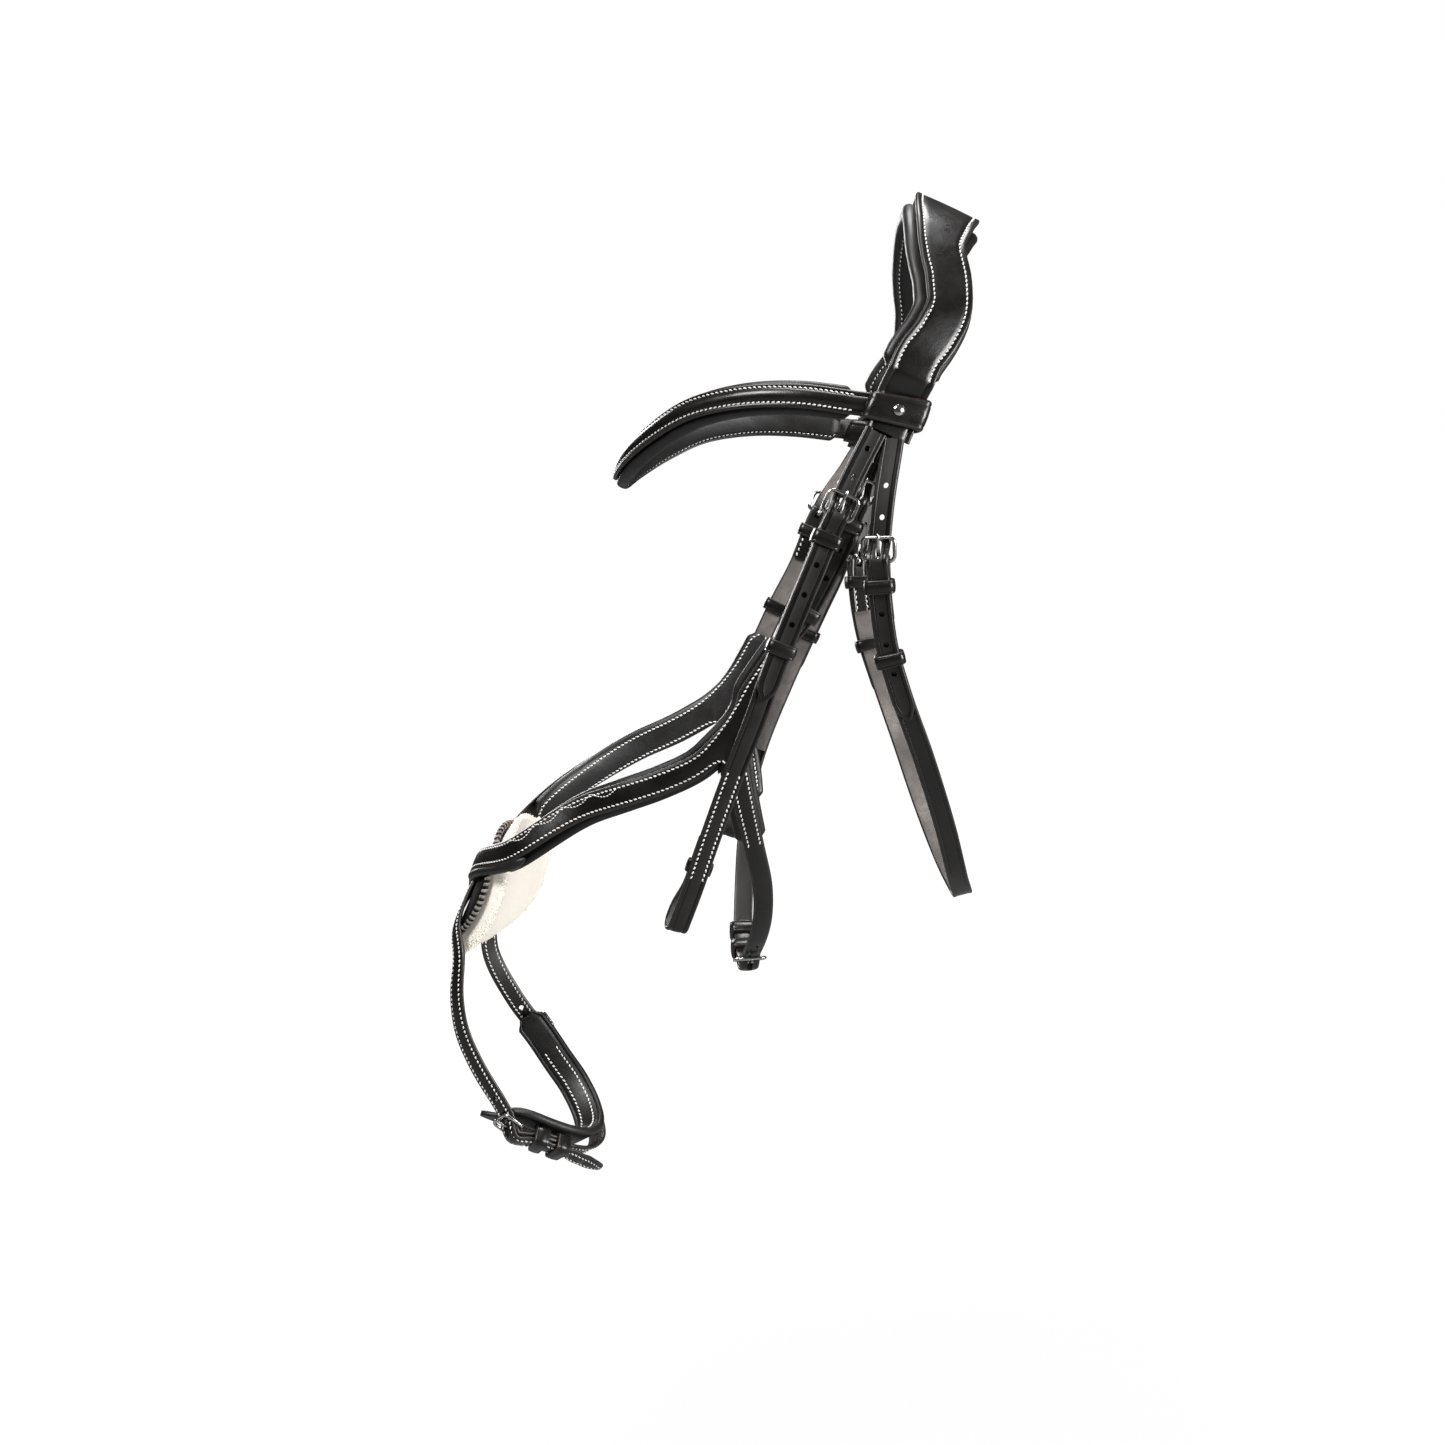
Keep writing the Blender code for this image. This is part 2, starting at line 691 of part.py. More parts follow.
    def frame_shape(self):
        """The buckle's frame: one wire ring, leaning from the bar to its other end."""
        middle, across = self.pivot()
        leg = self.leg(self.top_height)
        down = leg.normalized()
        up = across.cross(down).normalized()
        half = STRAP_WIDTH / 2 + BUCKLE_ROOM + WIRE / 2
        far = leg.length
        centres = [(half - BUCKLE_CORNER, BUCKLE_CORNER, -90), (half - BUCKLE_CORNER, far - BUCKLE_CORNER, 0),
                   (BUCKLE_CORNER - half, far - BUCKLE_CORNER, 90), (BUCKLE_CORNER - half, BUCKLE_CORNER, 180)]
        rings = []
        for x, y, start in centres:
            for i in range(CORNER_STEPS):
                angle = math.radians(start + 90 * i / (CORNER_STEPS - 1))
                side = across * math.cos(angle) + down * math.sin(angle)
                centre = middle + across * x + down * y + side * BUCKLE_CORNER
                rings.append([centre + (side * math.cos(turn) + up * math.sin(turn)) * WIRE / 2
                              for turn in (2 * math.pi * j / WIRE_SIDES for j in range(WIRE_SIDES))])
        return skin(rings, closed=True)

    def prong_shape(self):
        """The prong: an eye round the bar, and a tongue that rests on the frame's other end."""
        middle, across = self.pivot()
        leg = self.leg(self.top_height + WIRE / 2 + CLEARANCE + PRONG_THICKNESS / 2)
        reach = leg.length
        ahead = leg.normalized()
        up = across.cross(ahead)
        if up.dot(self.route.frame(self.bar)[3]) < 0:
            up = -up
        inner = WIRE / 2 + CLEARANCE
        angles = [2 * math.pi * (i - 0.5) / EYE_SIDES for i in range(EYE_SIDES)]
        half = across * (PRONG_WIDTH / 2)
        points, faces = [], []
        for angle in angles:
            away = ahead * math.cos(angle) + up * math.sin(angle)
            for radius in (inner, self.eye):
                points += [middle + away * radius + half, middle + away * radius - half]
        for i in range(EYE_SIDES):
            a, b = 4 * i, 4 * ((i + 1) % EYE_SIDES)
            faces += [(a, a + 1, b + 1, b), (a, a + 2, b + 2, b), (a + 1, a + 3, b + 3, b + 1)]
            if i:
                faces.append((a + 2, a + 3, b + 3, b + 2))
        last = (2, 3, 7, 6)
        tip = reach + PRONG_OVERHANG
        for distance, wide, thick in ((reach, 1.0, 1.0), (tip, PRONG_TIP_SHARE, PRONG_TIP_SHARE)):
            start = len(points)
            lift = up * (PRONG_THICKNESS / 2 * thick)
            base = middle + ahead * distance
            points += [base - lift + half * wide, base - lift - half * wide,
                       base + lift - half * wide, base + lift + half * wide]
            new = (start, start + 1, start + 2, start + 3)
            for j in range(4):
                k = (j + 1) % 4
                faces.append((last[j], last[k], new[k], new[j]))
            last = new
        faces.append(last)
        return points, faces

    def keeper(self, q, room=KEEPER_ROOM):
        """A leather loop round the folded strap and the billet."""
        low = self.base - room if q < CHAPE_LENGTH else self.outer - CHAPE_THICKNESS / 2 - room
        high = self.top + room
        half = STRAP_WIDTH / 2 + room
        return loop_shape(self.route, self.at(q), KEEPER_LENGTH, half, low, high, KEEPER_WALL)


def loop_shape(route, s, length, half, low, high, wall):
    """A band of leather round what lies between two heights."""
    def outline(grow):
        corner = wall / 2 + grow / 2
        w, top, bottom = half + grow, high + grow, low - grow
        return [(w, bottom + corner), (w, top - corner), (w - corner, top), (corner - w, top),
                (-w, top - corner), (-w, bottom + corner), (corner - w, bottom), (w - corner, bottom)]
    rings = []
    for share in (-0.5, 0.0, 0.5):
        point, along, across, out = route.frame(s + share * length)
        rings.append([[point + across * w + out * n for w, n in outline(grow)] for grow in (0.0, wall)])
    points = [point for ring in rings for line in ring for point in line]
    count = len(rings[0][0])
    faces = []
    for j in range(count):
        k = (j + 1) % count
        for r in range(2):
            a, b = r * 2 * count, (r + 1) * 2 * count
            faces += [(a + j, a + k, b + k, b + j), (a + count + j, a + count + k, b + count + k, b + count + j)]
        for r in (0, 2):
            a = r * 2 * count
            faces.append((a + j, a + k, a + count + k, a + count + j))
    return points, faces


def mirrored(stops):
    """The same places on the far side of the head."""
    return [(Vector((p.x, -p.y, p.z)), Vector((a.x, -a.y, a.z))) for p, a in stops]


def both_sides(half):
    """Places from the near end over the middle to the far end, from a half that starts at the middle."""
    return list(reversed(half)) + mirrored(half[1:])


def sized(keys, width, thickness):
    """Keys of (distance, height) with one width and thickness."""
    return [(s, n, width, thickness) for s, n in keys]


def strap(route, stations, profile=STRAP_SHARES):
    """Skin of a strap along a route."""
    return skin(sections(route, stations, profile))


def y_skin(arms, junction, out, height, half, thickness, profile):
    """Skin of a three-armed plate. Each arm is its rings from the tip in, and its two corners' names."""
    point = junction + out * height
    inset = (1.0 - profile[2][0]) * half
    levels = {"top": profile[2][1] * thickness, "edge": profile[3][1] * thickness,
              "low": profile[4][1] * thickness}
    headings = {}
    for rings, left, right in arms:
        centre = sum(rings[-1], Vector()) / len(rings[-1])
        headings[left + right] = (centre - point - out * (centre - point).dot(out)).normalized()
    corners = {}
    for name in "ABC":
        first, second = [heading for pair, heading in headings.items() if name in pair]
        between = (first + second).normalized()
        lean = first.angle(second) / 2
        if lean > math.radians(STRAIGHT_ANGLE):
            other = [heading for pair, heading in headings.items() if name not in pair][0]
            between = -(other - out * other.dot(out)).normalized()
        reach = half / math.sin(lean) + CROTCH_ROUND * math.cos(lean)
        corners[name] = (between, reach)
    points, faces, index = [], [], {}

    def add(key, place):
        index[key] = len(points)
        points.append(place)

    for name, (between, reach) in corners.items():
        add(name + "top", point + between * (reach - inset) + out * levels["top"])
        add(name + "edge", point + between * reach + out * levels["edge"])
        add(name + "low", point + between * (reach - inset) + out * levels["low"])
    add("top", point + out * profile[1][1] * thickness)
    add("low", point + out * profile[5][1] * thickness)
    for rings, left, right in arms:
        pair = left + right
        middle = (points[index[left + "edge"]] + points[index[right + "edge"]]) / 2
        middle = middle - out * (middle - point).dot(out)
        add(pair + "top", middle + out * profile[1][1] * thickness)
        add(pair + "low", middle + out * profile[5][1] * thickness)
        start = len(points)
        count = len(rings[0])
        for ring in rings:
            points += ring
        for i in range(len(rings) - 1):
            a, b = start + i * count, start + (i + 1) * count
            faces += [(a + j, a + (j + 1) % count, b + (j + 1) % count, b + j) for j in range(count)]
        faces.append(tuple(range(start, start + count)))
        inner = [left + "top", pair + "top", right + "top", right + "edge",
                 right + "low", pair + "low", left + "low", left + "edge"]
        a = start + (len(rings) - 1) * count
        for j in range(count):
            k = (j + 1) % count
            faces.append((a + j, a + k, index[inner[k]], index[inner[j]]))
        for level in ("top", "low"):
            faces.append((index[level], index[left + level], index[pair + level]))
            faces.append((index[level], index[pair + level], index[right + level]))
    return points, faces


def bent_disc(profile):
    """Skin of a disc bent over the nose, from (radius, height over the nose) pairs."""
    axis = DISC_CENTRE - NOSE_FRONT * NOSE_RADIUS
    rings = []
    for radius, height in profile:
        ring = []
        for i in range(DISC_SIDES):
            turn_angle = 2 * math.pi * i / DISC_SIDES
            bend = radius * math.sin(turn_angle) / NOSE_RADIUS
            away = NOSE_FRONT * math.cos(bend) + NOSE_SIDE * math.sin(bend)
            ring.append(axis + NOSE_DOWN * radius * math.cos(turn_angle) + away * (NOSE_RADIUS + height))
        rings.append(ring)
    return skin(rings)


def prong(name, fastening, finish, parent=None):
    """A prong on its bar, in a body of its own."""
    pivot, bar = fastening.pivot()
    carrier = body(name + "_hinge", pivot, parent)
    return piece(name, fastening.prong_shape(), finish, carrier)


def sewn_pad(width, thickness, route, start, end, height, profile=PAD_SHARES):
    """Rings of a pad that is drawn in at both ends."""
    keys = [(start, height, width * PAD_END_SHARE, thickness * PAD_END_SHARE),
            (start + PAD_ROUND, height, width, thickness),
            (end - PAD_ROUND, height, width, thickness),
            (end, height, width * PAD_END_SHARE, thickness * PAD_END_SHARE)]
    return sections(route, run(route, keys), profile)


for old in list(bpy.data.objects):
    bpy.data.objects.remove(old)

BLACK = material("black leather", (0.014, 0.012, 0.011), 0.36, 0.0)
PADDING = material("soft black leather", (0.018, 0.016, 0.015), 0.45, 0.0)
STEEL = material("steel", (0.62, 0.61, 0.58), 0.2, 1.0)
FLEECE = material("cream fleece", (0.86, 0.82, 0.74), 0.9, 0.0)

# Routes
headstrap_half = places(HEADSTRAP_HALF_PLACES_SHARES)
crown_half = headstrap_half + places(CROWN_END_PLACES_SHARES)
crown_route = Route(both_sides(crown_half))
brow_route = Route(both_sides(places(BROW_HALF_PLACES_SHARES)))
throat_route = Route(places(THROAT_PLACES_SHARES, THROAT_CENTRE_SHARES))
near_hanger = places(NEAR_HANGER_PLACES_SHARES)
far_hanger = places(FAR_HANGER_PLACES_SHARES)
headstrap_route = Route(list(reversed(near_hanger)) + both_sides(headstrap_half) + far_hanger)
chin_places = places(CHIN_PLACES_SHARES, CHIN_CENTRE_SHARES)
near_lower = places(NEAR_LOWER_PLACES_SHARES)
far_lower = places(FAR_LOWER_PLACES_SHARES)
near_arm = near_hanger[-1:] + places(NEAR_BRANCH_PLACES_SHARES) + nose_places(NEAR_ARM_NOSE_SHARES) + far_lower
far_arm = far_hanger[-1:] + places(FAR_BRANCH_PLACES_SHARES) + nose_places(FAR_ARM_NOSE_SHARES) + near_lower
chin_route = Route(near_arm[-2:] + chin_places + list(reversed(far_arm[-2:])))
chin_pad_route = Route(near_arm[-2:] + chin_places + places(CHIN_TAB_PLACES_SHARES, CHIN_CENTRE_SHARES))
jaw_places = places(JAW_PLACES_SHARES, JAW_CENTRE_SHARES)
near_arm_route = Route(near_arm + chin_places)
far_arm_route = Route(far_arm + list(reversed(chin_places)))
jaw_route = Route(near_hanger[-1:] + jaw_places + far_hanger[-1:])

# Crown, with its padding under it and the noseband's strap between the two
crown_middle = crown_route.mark(len(crown_half) - 1)
seat_start = crown_route.mark(len(crown_half) - 2)
seat_end = crown_route.mark(len(crown_half))
crown_end = crown_route.length - CROWN_END_GAP
pad_size = (CROWN_WIDTH + 2 * CROWN_PADDING_MARGIN, CROWN_PADDING_THICKNESS)
pad_end_size = (CROWN_END_WIDTH + 2 * CROWN_PADDING_MARGIN, CROWN_PADDING_THICKNESS)
pad_tip_size = (CROWN_END_WIDTH, CROWN_PADDING_THICKNESS * PAD_END_SHARE)
pad_keys = []
for way in (-1.0, 1.0):
    tip = crown_middle + way * CROWN_PADDING_REACH
    half = [(tip, CROWN_PADDING_THICKNESS / 2, *pad_tip_size),
            (tip - way * PAD_ROUND, CROWN_PADDING_THICKNESS / 2, *pad_end_size),
            (crown_middle + way * CROWN_WAIST, CROWN_PADDING_THICKNESS / 2, *pad_end_size),
            (crown_middle + way * CROWN_SHOULDER, CROWN_PADDING_THICKNESS / 2, *pad_size)]
    pad_keys.append(half)
near_pad = run(crown_route, pad_keys[0] + [(seat_start, CROWN_PADDING_THICKNESS / 2, *pad_size)])
far_pad = run(crown_route, [(seat_end, CROWN_PADDING_THICKNESS / 2, *pad_size)] + list(reversed(pad_keys[1])))
piece("crown_padding", strap(crown_route, near_pad + far_pad, CROWN_PAD_SHARES), PADDING)

strap_low = STRAP_THICKNESS / 2
strap_high = CROWN_PADDING_THICKNESS + CROWN_LAYER_GAP + STRAP_THICKNESS / 2
layer = STRAP_THICKNESS + EASE
crown_high = strap_high + STRAP_THICKNESS + CROWN_LAYER_GAP
high_reach = CROWN_PADDING_REACH + CROWN_RAMP_START
low_reach = CROWN_PADDING_REACH + CROWN_RAMP
crown_end_size = (CROWN_END_WIDTH, STRAP_THICKNESS)
crown_keys = [(CROWN_END_GAP, strap_low + layer, *crown_end_size),
              (crown_middle - low_reach - CROWN_LAG, strap_low + layer, *crown_end_size),
              (crown_middle - high_reach - CROWN_LAG, crown_high, *crown_end_size),
              (crown_middle - CROWN_WAIST, crown_high, *crown_end_size),
              (crown_middle - CROWN_SHOULDER, crown_high, CROWN_WIDTH, STRAP_THICKNESS)]
crown_far_keys = [(2 * crown_middle - s, *size) for s, *size in reversed(crown_keys)]
crown_stations = run(crown_route, crown_keys + crown_far_keys)
piece("crown_leather", strap(crown_route, crown_stations), BLACK)

near_hanger_route = Route(headstrap_half[-1:] + near_hanger)
far_hanger_route = Route(mirrored(headstrap_half[-1:]) + far_hanger)
near_hang = Fastening(near_hanger_route, near_hanger_route.mark(HANGER_BAR + 1), 1)
far_hang = Fastening(far_hanger_route, far_hanger_route.mark(HANGER_BAR + 1), 1)
middle_number = len(near_hanger) + len(headstrap_half) - 1
strap_middle = headstrap_route.mark(middle_number)
near_head = Fastening(headstrap_route, headstrap_route.mark(len(near_hanger) - 1 - HANGER_BAR), -1)
far_head = Fastening(headstrap_route, headstrap_route.mark(len(headstrap_route.marks) - len(far_hanger) + HANGER_BAR), 1)
headstrap = []
for fastening in (near_head, far_head):
    way = fastening.way
    keys = [(strap_middle, strap_high, HEADSTRAP_WIDTH, STRAP_THICKNESS),
            (strap_middle + way * CROWN_SHOULDER, strap_high, HEADSTRAP_WIDTH, STRAP_THICKNESS),
            (strap_middle + way * high_reach, strap_high, STRAP_WIDTH, STRAP_THICKNESS),
            (strap_middle + way * low_reach, strap_low, STRAP_WIDTH, STRAP_THICKNESS)]
    headstrap.append(fastening.billet(keys, NOSEBAND_TIP))
headstrap_piece = piece("noseband_headstrap", strap(headstrap_route, list(reversed(headstrap[0])) + headstrap[1][1:]),
                        BLACK)
cut(headstrap_piece, "noseband_billet_holes", near_head.holes(2, 3) + far_head.holes(2, 3))

# Browband
brow_end = brow_route.length + BROW_REACH
brow_keys = sized([(-BROW_REACH, STRAP_THICKNESS / 2), (brow_end, STRAP_THICKNESS / 2)],
                  BROW_LEATHER_WIDTH, STRAP_THICKNESS)
piece("browband_leather", strap(brow_route, run(brow_route, brow_keys)), BLACK)
brow_pad = sewn_pad(BROW_PADDING_WIDTH, BROW_PADDING_THICKNESS, brow_route, BROW_END_MARGIN,
                    brow_route.length - BROW_END_MARGIN, -EASE - BROW_PADDING_THICKNESS / 2)
piece("browband_padding", skin(brow_pad), PADDING)
loop_half = CROWN_END_WIDTH / 2 + LOOP_SIDE_ROOM
loop_high = strap_low + layer + STRAP_THICKNESS / 2 + EASE
for side, s in (("near", LOOP_SETBACK + LOOP_LENGTH / 2),
                ("far", crown_route.length - LOOP_SETBACK - LOOP_LENGTH / 2)):
    band = loop_shape(crown_route, s, LOOP_LENGTH, loop_half, -LOOP_INNER_ROOM, loop_high, LOOP_WALL)
    piece(side + "_browband_loop", band, BLACK)

# Cheekpieces, each in the body that swings from the browband loop
for side, table in (("near", NEAR_CHEEK_PLACES_SHARES), ("far", FAR_CHEEK_PLACES_SHARES)):
    route = Route(places(table))
    buckle = Fastening(route, route.mark(CHEEK_BAR), 1)
    point, along, across, out = route.frame(0.0)
    swing = body(side + "_cheek_swing", point + out * STRAP_THICKNESS / 2)
    round_end = [(-STRAP_THICKNESS / 2 * reach, buckle.under_top, STRAP_WIDTH, STRAP_THICKNESS * size)
                 for reach, size in ROUND_END_SHARES]
    billet = round_end[:-1] + buckle.billet(round_end[-1:], CHEEK_TIP)
    billet_piece = piece(side + "_cheek_billet", strap(route, billet), BLACK, swing)
    cut(billet_piece, side + "_cheek_billet_holes", buckle.holes(2, 5))
    foot = route.length
    size = (STRAP_WIDTH, CHAPE_THICKNESS)
    radius = BIT_LOOP_RADIUS + CHAPE_THICKNESS / 2
    down = run(route, [(buckle.at(CHAPE_LENGTH), buckle.outer, *size), (foot, buckle.outer, *size)])
    fold = [(foot + radius * math.sin(a), buckle.outer - radius + radius * math.cos(a), *size)
            for a in (math.pi * i / TURN_STEPS for i in range(1, TURN_STEPS + 1))]
    back = run(route, [(foot - BIT_LOOP_RADIUS, buckle.outer - 2 * radius, *size),
                       (foot - BIT_LOOP_CLOSE, buckle.inner, *size),
                       (foot - BIT_LOOP_RETURN + SKIVE, buckle.inner, *size),
                       (foot - BIT_LOOP_RETURN, buckle.inner + CHAPE_THICKNESS / 4, STRAP_WIDTH, CHAPE_THICKNESS / 2)])
    cheek = piece(side + "_cheekpiece", strap(route, buckle.chape() + down[1:] + fold + back), BLACK, swing)
    cut(cheek, side + "_cheek_slot", [buckle.slot()])
    piece(side + "_cheek_buckle", buckle.frame_shape(), STEEL, swing)
    prong(side + "_cheek_prong", buckle, STEEL, swing)
    bit_keeper = loop_shape(route, foot - BIT_KEEPER_SETBACK, KEEPER_LENGTH, STRAP_WIDTH / 2 + KEEPER_ROOM,
                            -KEEPER_ROOM, buckle.outer + CHAPE_THICKNESS / 2 + KEEPER_ROOM, KEEPER_WALL)
    piece(side + "_bit_keeper", bit_keeper, BLACK, swing)
    piece(side + "_cheek_keeper", buckle.keeper(KEEPER_SETBACK), BLACK, swing)
    runner_at = route.frame(buckle.at(CHEEK_RUNNER))[0]
    slide = body(side + "_cheek_runner_slide", runner_at, swing)
    piece(side + "_cheek_runner", buckle.keeper(CHEEK_RUNNER, RUNNER_ROOM), BLACK, slide)

# Throatlash, one body that swings about the line through both of its upper ends
near_throat = Fastening(throat_route, throat_route.mark(THROAT_BAR), 1)
far_throat = Fastening(throat_route, throat_route.mark(len(throat_route.marks) - 1 - THROAT_BAR), -1)
top, along, across, out = throat_route.frame(0.0)
swing = body("throatlash_swing", top + out * STRAP_THICKNESS / 2)
for side, fastening, end in (("near", near_throat, 0.0), ("far", far_throat, throat_route.length)):
    way = fastening.way
    round_end = [(end - way * STRAP_WIDTH / 2 * reach, fastening.under_top, STRAP_WIDTH * size, STRAP_THICKNESS)
                 for reach, size in ROUND_END_SHARES]
    billet = round_end[:-1] + fastening.billet(round_end[-1:], THROAT_TIP)
    billet_piece = piece(side + "_throat_billet", strap(throat_route, billet), BLACK, swing)
    cut(billet_piece, side + "_throat_billet_holes", fastening.holes(2, 4))
    piece(side + "_throat_buckle", fastening.frame_shape(), STEEL, swing)
    prong(side + "_throat_prong", fastening, STEEL, swing)
    runner_at = throat_route.frame(fastening.at(THROAT_RUNNER))[0]
    slide = body(side + "_throat_runner_slide", runner_at, swing)
    piece(side + "_throat_runner", fastening.keeper(THROAT_RUNNER, RUNNER_ROOM), BLACK, slide)
    piece(side + "_throat_keeper", fastening.keeper(KEEPER_SETBACK), BLACK, swing)
under = run(throat_route, sized([(near_throat.at(CHAPE_LENGTH), near_throat.outer),
                                 (far_throat.at(CHAPE_LENGTH), far_throat.outer)], STRAP_WIDTH, CHAPE_THICKNESS))
throatlash = piece("throatlash_strap", strap(throat_route, near_throat.chape() + under[1:-1]
                                             + list(reversed(far_throat.chape()))), BLACK, swing)
cut(throatlash, "throatlash_slots", [near_throat.slot(), far_throat.slot()])

# Chin strap, with a buckle at each end
far_chin = Fastening(chin_route, chin_route.mark(2), 1)
near_chin = Fastening(chin_route, chin_route.mark(len(chin_places) + 1), -1)
chin_size = (STRAP_WIDTH, CHAPE_THICKNESS)
chin_run = run(chin_route, [(far_chin.at(CHAPE_LENGTH), far_chin.outer, *chin_size),
                            (near_chin.at(CHAPE_LENGTH), near_chin.outer, *chin_size)])
chin = piece("chin_strap", strap(chin_route, far_chin.chape() + chin_run[1:-1]
                                 + list(reversed(near_chin.chape()))), BLACK)
cut(chin, "chin_slots", [far_chin.slot(), near_chin.slot()])
chin_pad_size = (STRAP_WIDTH + 2 * CHIN_PAD_MARGIN, CHIN_PAD_THICKNESS)
tab_size = (STRAP_WIDTH, CHIN_PAD_THICKNESS * PAD_END_SHARE)
chin_pad_height = -KEEPER_WALL - KEEPER_ROOM - EASE - CHIN_PAD_THICKNESS / 2
chin_pad_start = chin_pad_route.mark(2) - CHIN_PAD_OVERHANG
chin_pad_keys = [(chin_pad_start, chin_pad_height, chin_pad_size[0] * PAD_END_SHARE, tab_size[1]),
                 (chin_pad_start + PAD_ROUND, chin_pad_height, *chin_pad_size),
                 (chin_pad_route.mark(len(chin_places) + 1), chin_pad_height, *chin_pad_size),
                 (chin_pad_route.length - TIP_LENGTH, chin_pad_height, *tab_size)]
chin_pad = pointed(run(chin_pad_route, chin_pad_keys), 1, 0.0)
piece("chin_pad", strap(chin_pad_route, chin_pad, PAD_SHARES), PADDING)
piece("far_chin_keeper", far_chin.keeper(KEEPER_SETBACK), BLACK)
piece("near_chin_keeper", near_chin.keeper(KEEPER_SETBACK), BLACK)
piece("near_chin_tip_keeper", near_chin.keeper(CHIN_SECOND_KEEPER), BLACK)

# Jaw strap's buckle, between the rear arms of the two noseband pieces
jaw = Fastening(jaw_route, jaw_route.mark(JAW_BAR), 1)
piece("jaw_keeper", jaw.keeper(KEEPER_SETBACK), BLACK)
piece("jaw_tip_keeper", jaw.keeper(JAW_SECOND_KEEPER), BLACK)

# Noseband: two Y-shaped leathers whose front arms cross on the nose and run down to the chin
plate = near_hang.outer
disc_level = DISC_THICKNESS + DISC_GAP + STRAP_THICKNESS / 2
arm_size = (ARM_WIDTH, STRAP_THICKNESS)
nose_size = (NOSE_ARM_WIDTH, STRAP_THICKNESS)
strap_size = (STRAP_WIDTH, STRAP_THICKNESS)
pad_height = plate - STRAP_THICKNESS / 2 - NOSE_PAD_GAP - NOSE_PAD_THICKNESS / 2
for side, hang, arm_route, chin_bar, lift in (
        ("near", near_hang, near_arm_route, len(near_arm), layer), ("far", far_hang, far_arm_route, len(far_arm), 0.0)):
    near = side == "near"
    junction = hang.route.length
    joint, along, across, out = hang.route.frame(junction)
    top_run = run(hang.route, [(hang.at(CHAPE_LENGTH), plate, STRAP_WIDTH, CHAPE_THICKNESS),
                               (junction - FLARE_REACH, plate, STRAP_WIDTH, CHAPE_THICKNESS),
                               (junction - JUNCTION_REACH, plate, *arm_size)])
    top_rings = sections(hang.route, hang.chape() + top_run[1:], PLATE_SHARES)
    cross = arm_route.mark(CROSSING)
    chin_end = Fastening(arm_route, arm_route.mark(chin_bar), 1)
    before = [(JUNCTION_REACH, plate, *arm_size), (NOSE_ARM_START, plate, *nose_size),
              (cross - DISC_DIAMETER / 2 - DISC_LEAD, disc_level, *nose_size),
              (cross - CROSS_REACH, disc_level + lift, *nose_size),
              (cross + CROSS_REACH, disc_level + lift, *nose_size),
              (cross + DISC_DIAMETER / 2 + DISC_LEAD, disc_level, *strap_size)]
    front_rings = sections(arm_route, chin_end.billet(before, CHIN_TIP, 0.0 if near else CHIN_TIP_LIFT), PLATE_SHARES)
    if near:
        rear_keys = [(JUNCTION_REACH, plate, *arm_size), (REAR_PAD_REACH, plate, *strap_size)]
        rear_rings = sections(jaw_route, jaw.billet(rear_keys, JAW_TIP), PLATE_SHARES)
        rear_rings.reverse()
    else:
        rear_run = run(jaw_route, [(jaw.at(CHAPE_LENGTH), plate, STRAP_WIDTH, CHAPE_THICKNESS),
                                   (jaw_route.length - REAR_PAD_REACH, plate, *strap_size),
                                   (jaw_route.length - JUNCTION_REACH, plate, *arm_size)])
        rear_rings = sections(jaw_route, jaw.chape() + rear_run[1:], PLATE_SHARES)
    front_rings.reverse()
    corners = (("C", "A"), ("B", "A"), ("C", "B")) if near else (("A", "C"), ("A", "B"), ("C", "B"))
    arms = [(rings, *pair) for rings, pair in zip((top_rings, front_rings, rear_rings), corners)]
    half = ARM_WIDTH / 2
    leather = piece(side + "_noseband_leather", y_skin(arms, joint, out, plate, half, STRAP_THICKNESS, PLATE_SHARES),
                    BLACK)
    cuts = [hang.slot()] + chin_end.holes(1, 2)
    cuts += jaw.holes(1, 2) if near else [jaw.slot()]
    cut(leather, side + "_noseband_cuts", cuts)

    wide = ARM_WIDTH + 2 * NOSE_PAD_MARGIN
    nose_wide = NOSE_ARM_WIDTH + 2 * NOSE_PAD_MARGIN
    thick = NOSE_PAD_THICKNESS

    def pad_arm(route, tip, inner, tip_width):
        """Rings of one arm of the pad, from its drawn-in tip to the junction."""
        way = 1.0 if inner > tip else -1.0
        keys = [(tip, pad_height, tip_width * PAD_END_SHARE, thick * PAD_END_SHARE),
                (tip + way * PAD_ROUND, pad_height, tip_width, thick), (inner, pad_height, wide, thick)]
        stations = run(route, keys)
        if way > 0:
            return sections(route, stations, PAD_SHARES)
        return list(reversed(sections(route, list(reversed(stations)), PAD_SHARES)))

    top_pad = pad_arm(hang.route, hang.at(NOSE_PAD_START), junction - JUNCTION_REACH, STRAP_WIDTH + 2 * NOSE_PAD_MARGIN)
    front_pad = pad_arm(arm_route, cross - FLEECE_DIAMETER / 2 - PAD_GAP, JUNCTION_REACH, nose_wide)
    if near:
        rear_pad = pad_arm(jaw_route, REAR_PAD_REACH, JUNCTION_REACH, STRAP_WIDTH + 2 * NOSE_PAD_MARGIN)
    else:
        rear_pad = pad_arm(jaw_route, jaw_route.length - REAR_PAD_REACH, jaw_route.length - JUNCTION_REACH,
                           STRAP_WIDTH + 2 * NOSE_PAD_MARGIN)
    arms = [(rings, *pair) for rings, pair in zip((top_pad, front_pad, rear_pad), corners)]
    piece(side + "_noseband_padding", y_skin(arms, joint, out, pad_height, wide / 2, thick, PAD_SHARES), PADDING)
    piece(side + "_noseband_keeper", hang.keeper(KEEPER_SETBACK), BLACK)
    piece(side + "_noseband_tip_keeper", hang.keeper(NOSEBAND_SECOND_KEEPER), BLACK)

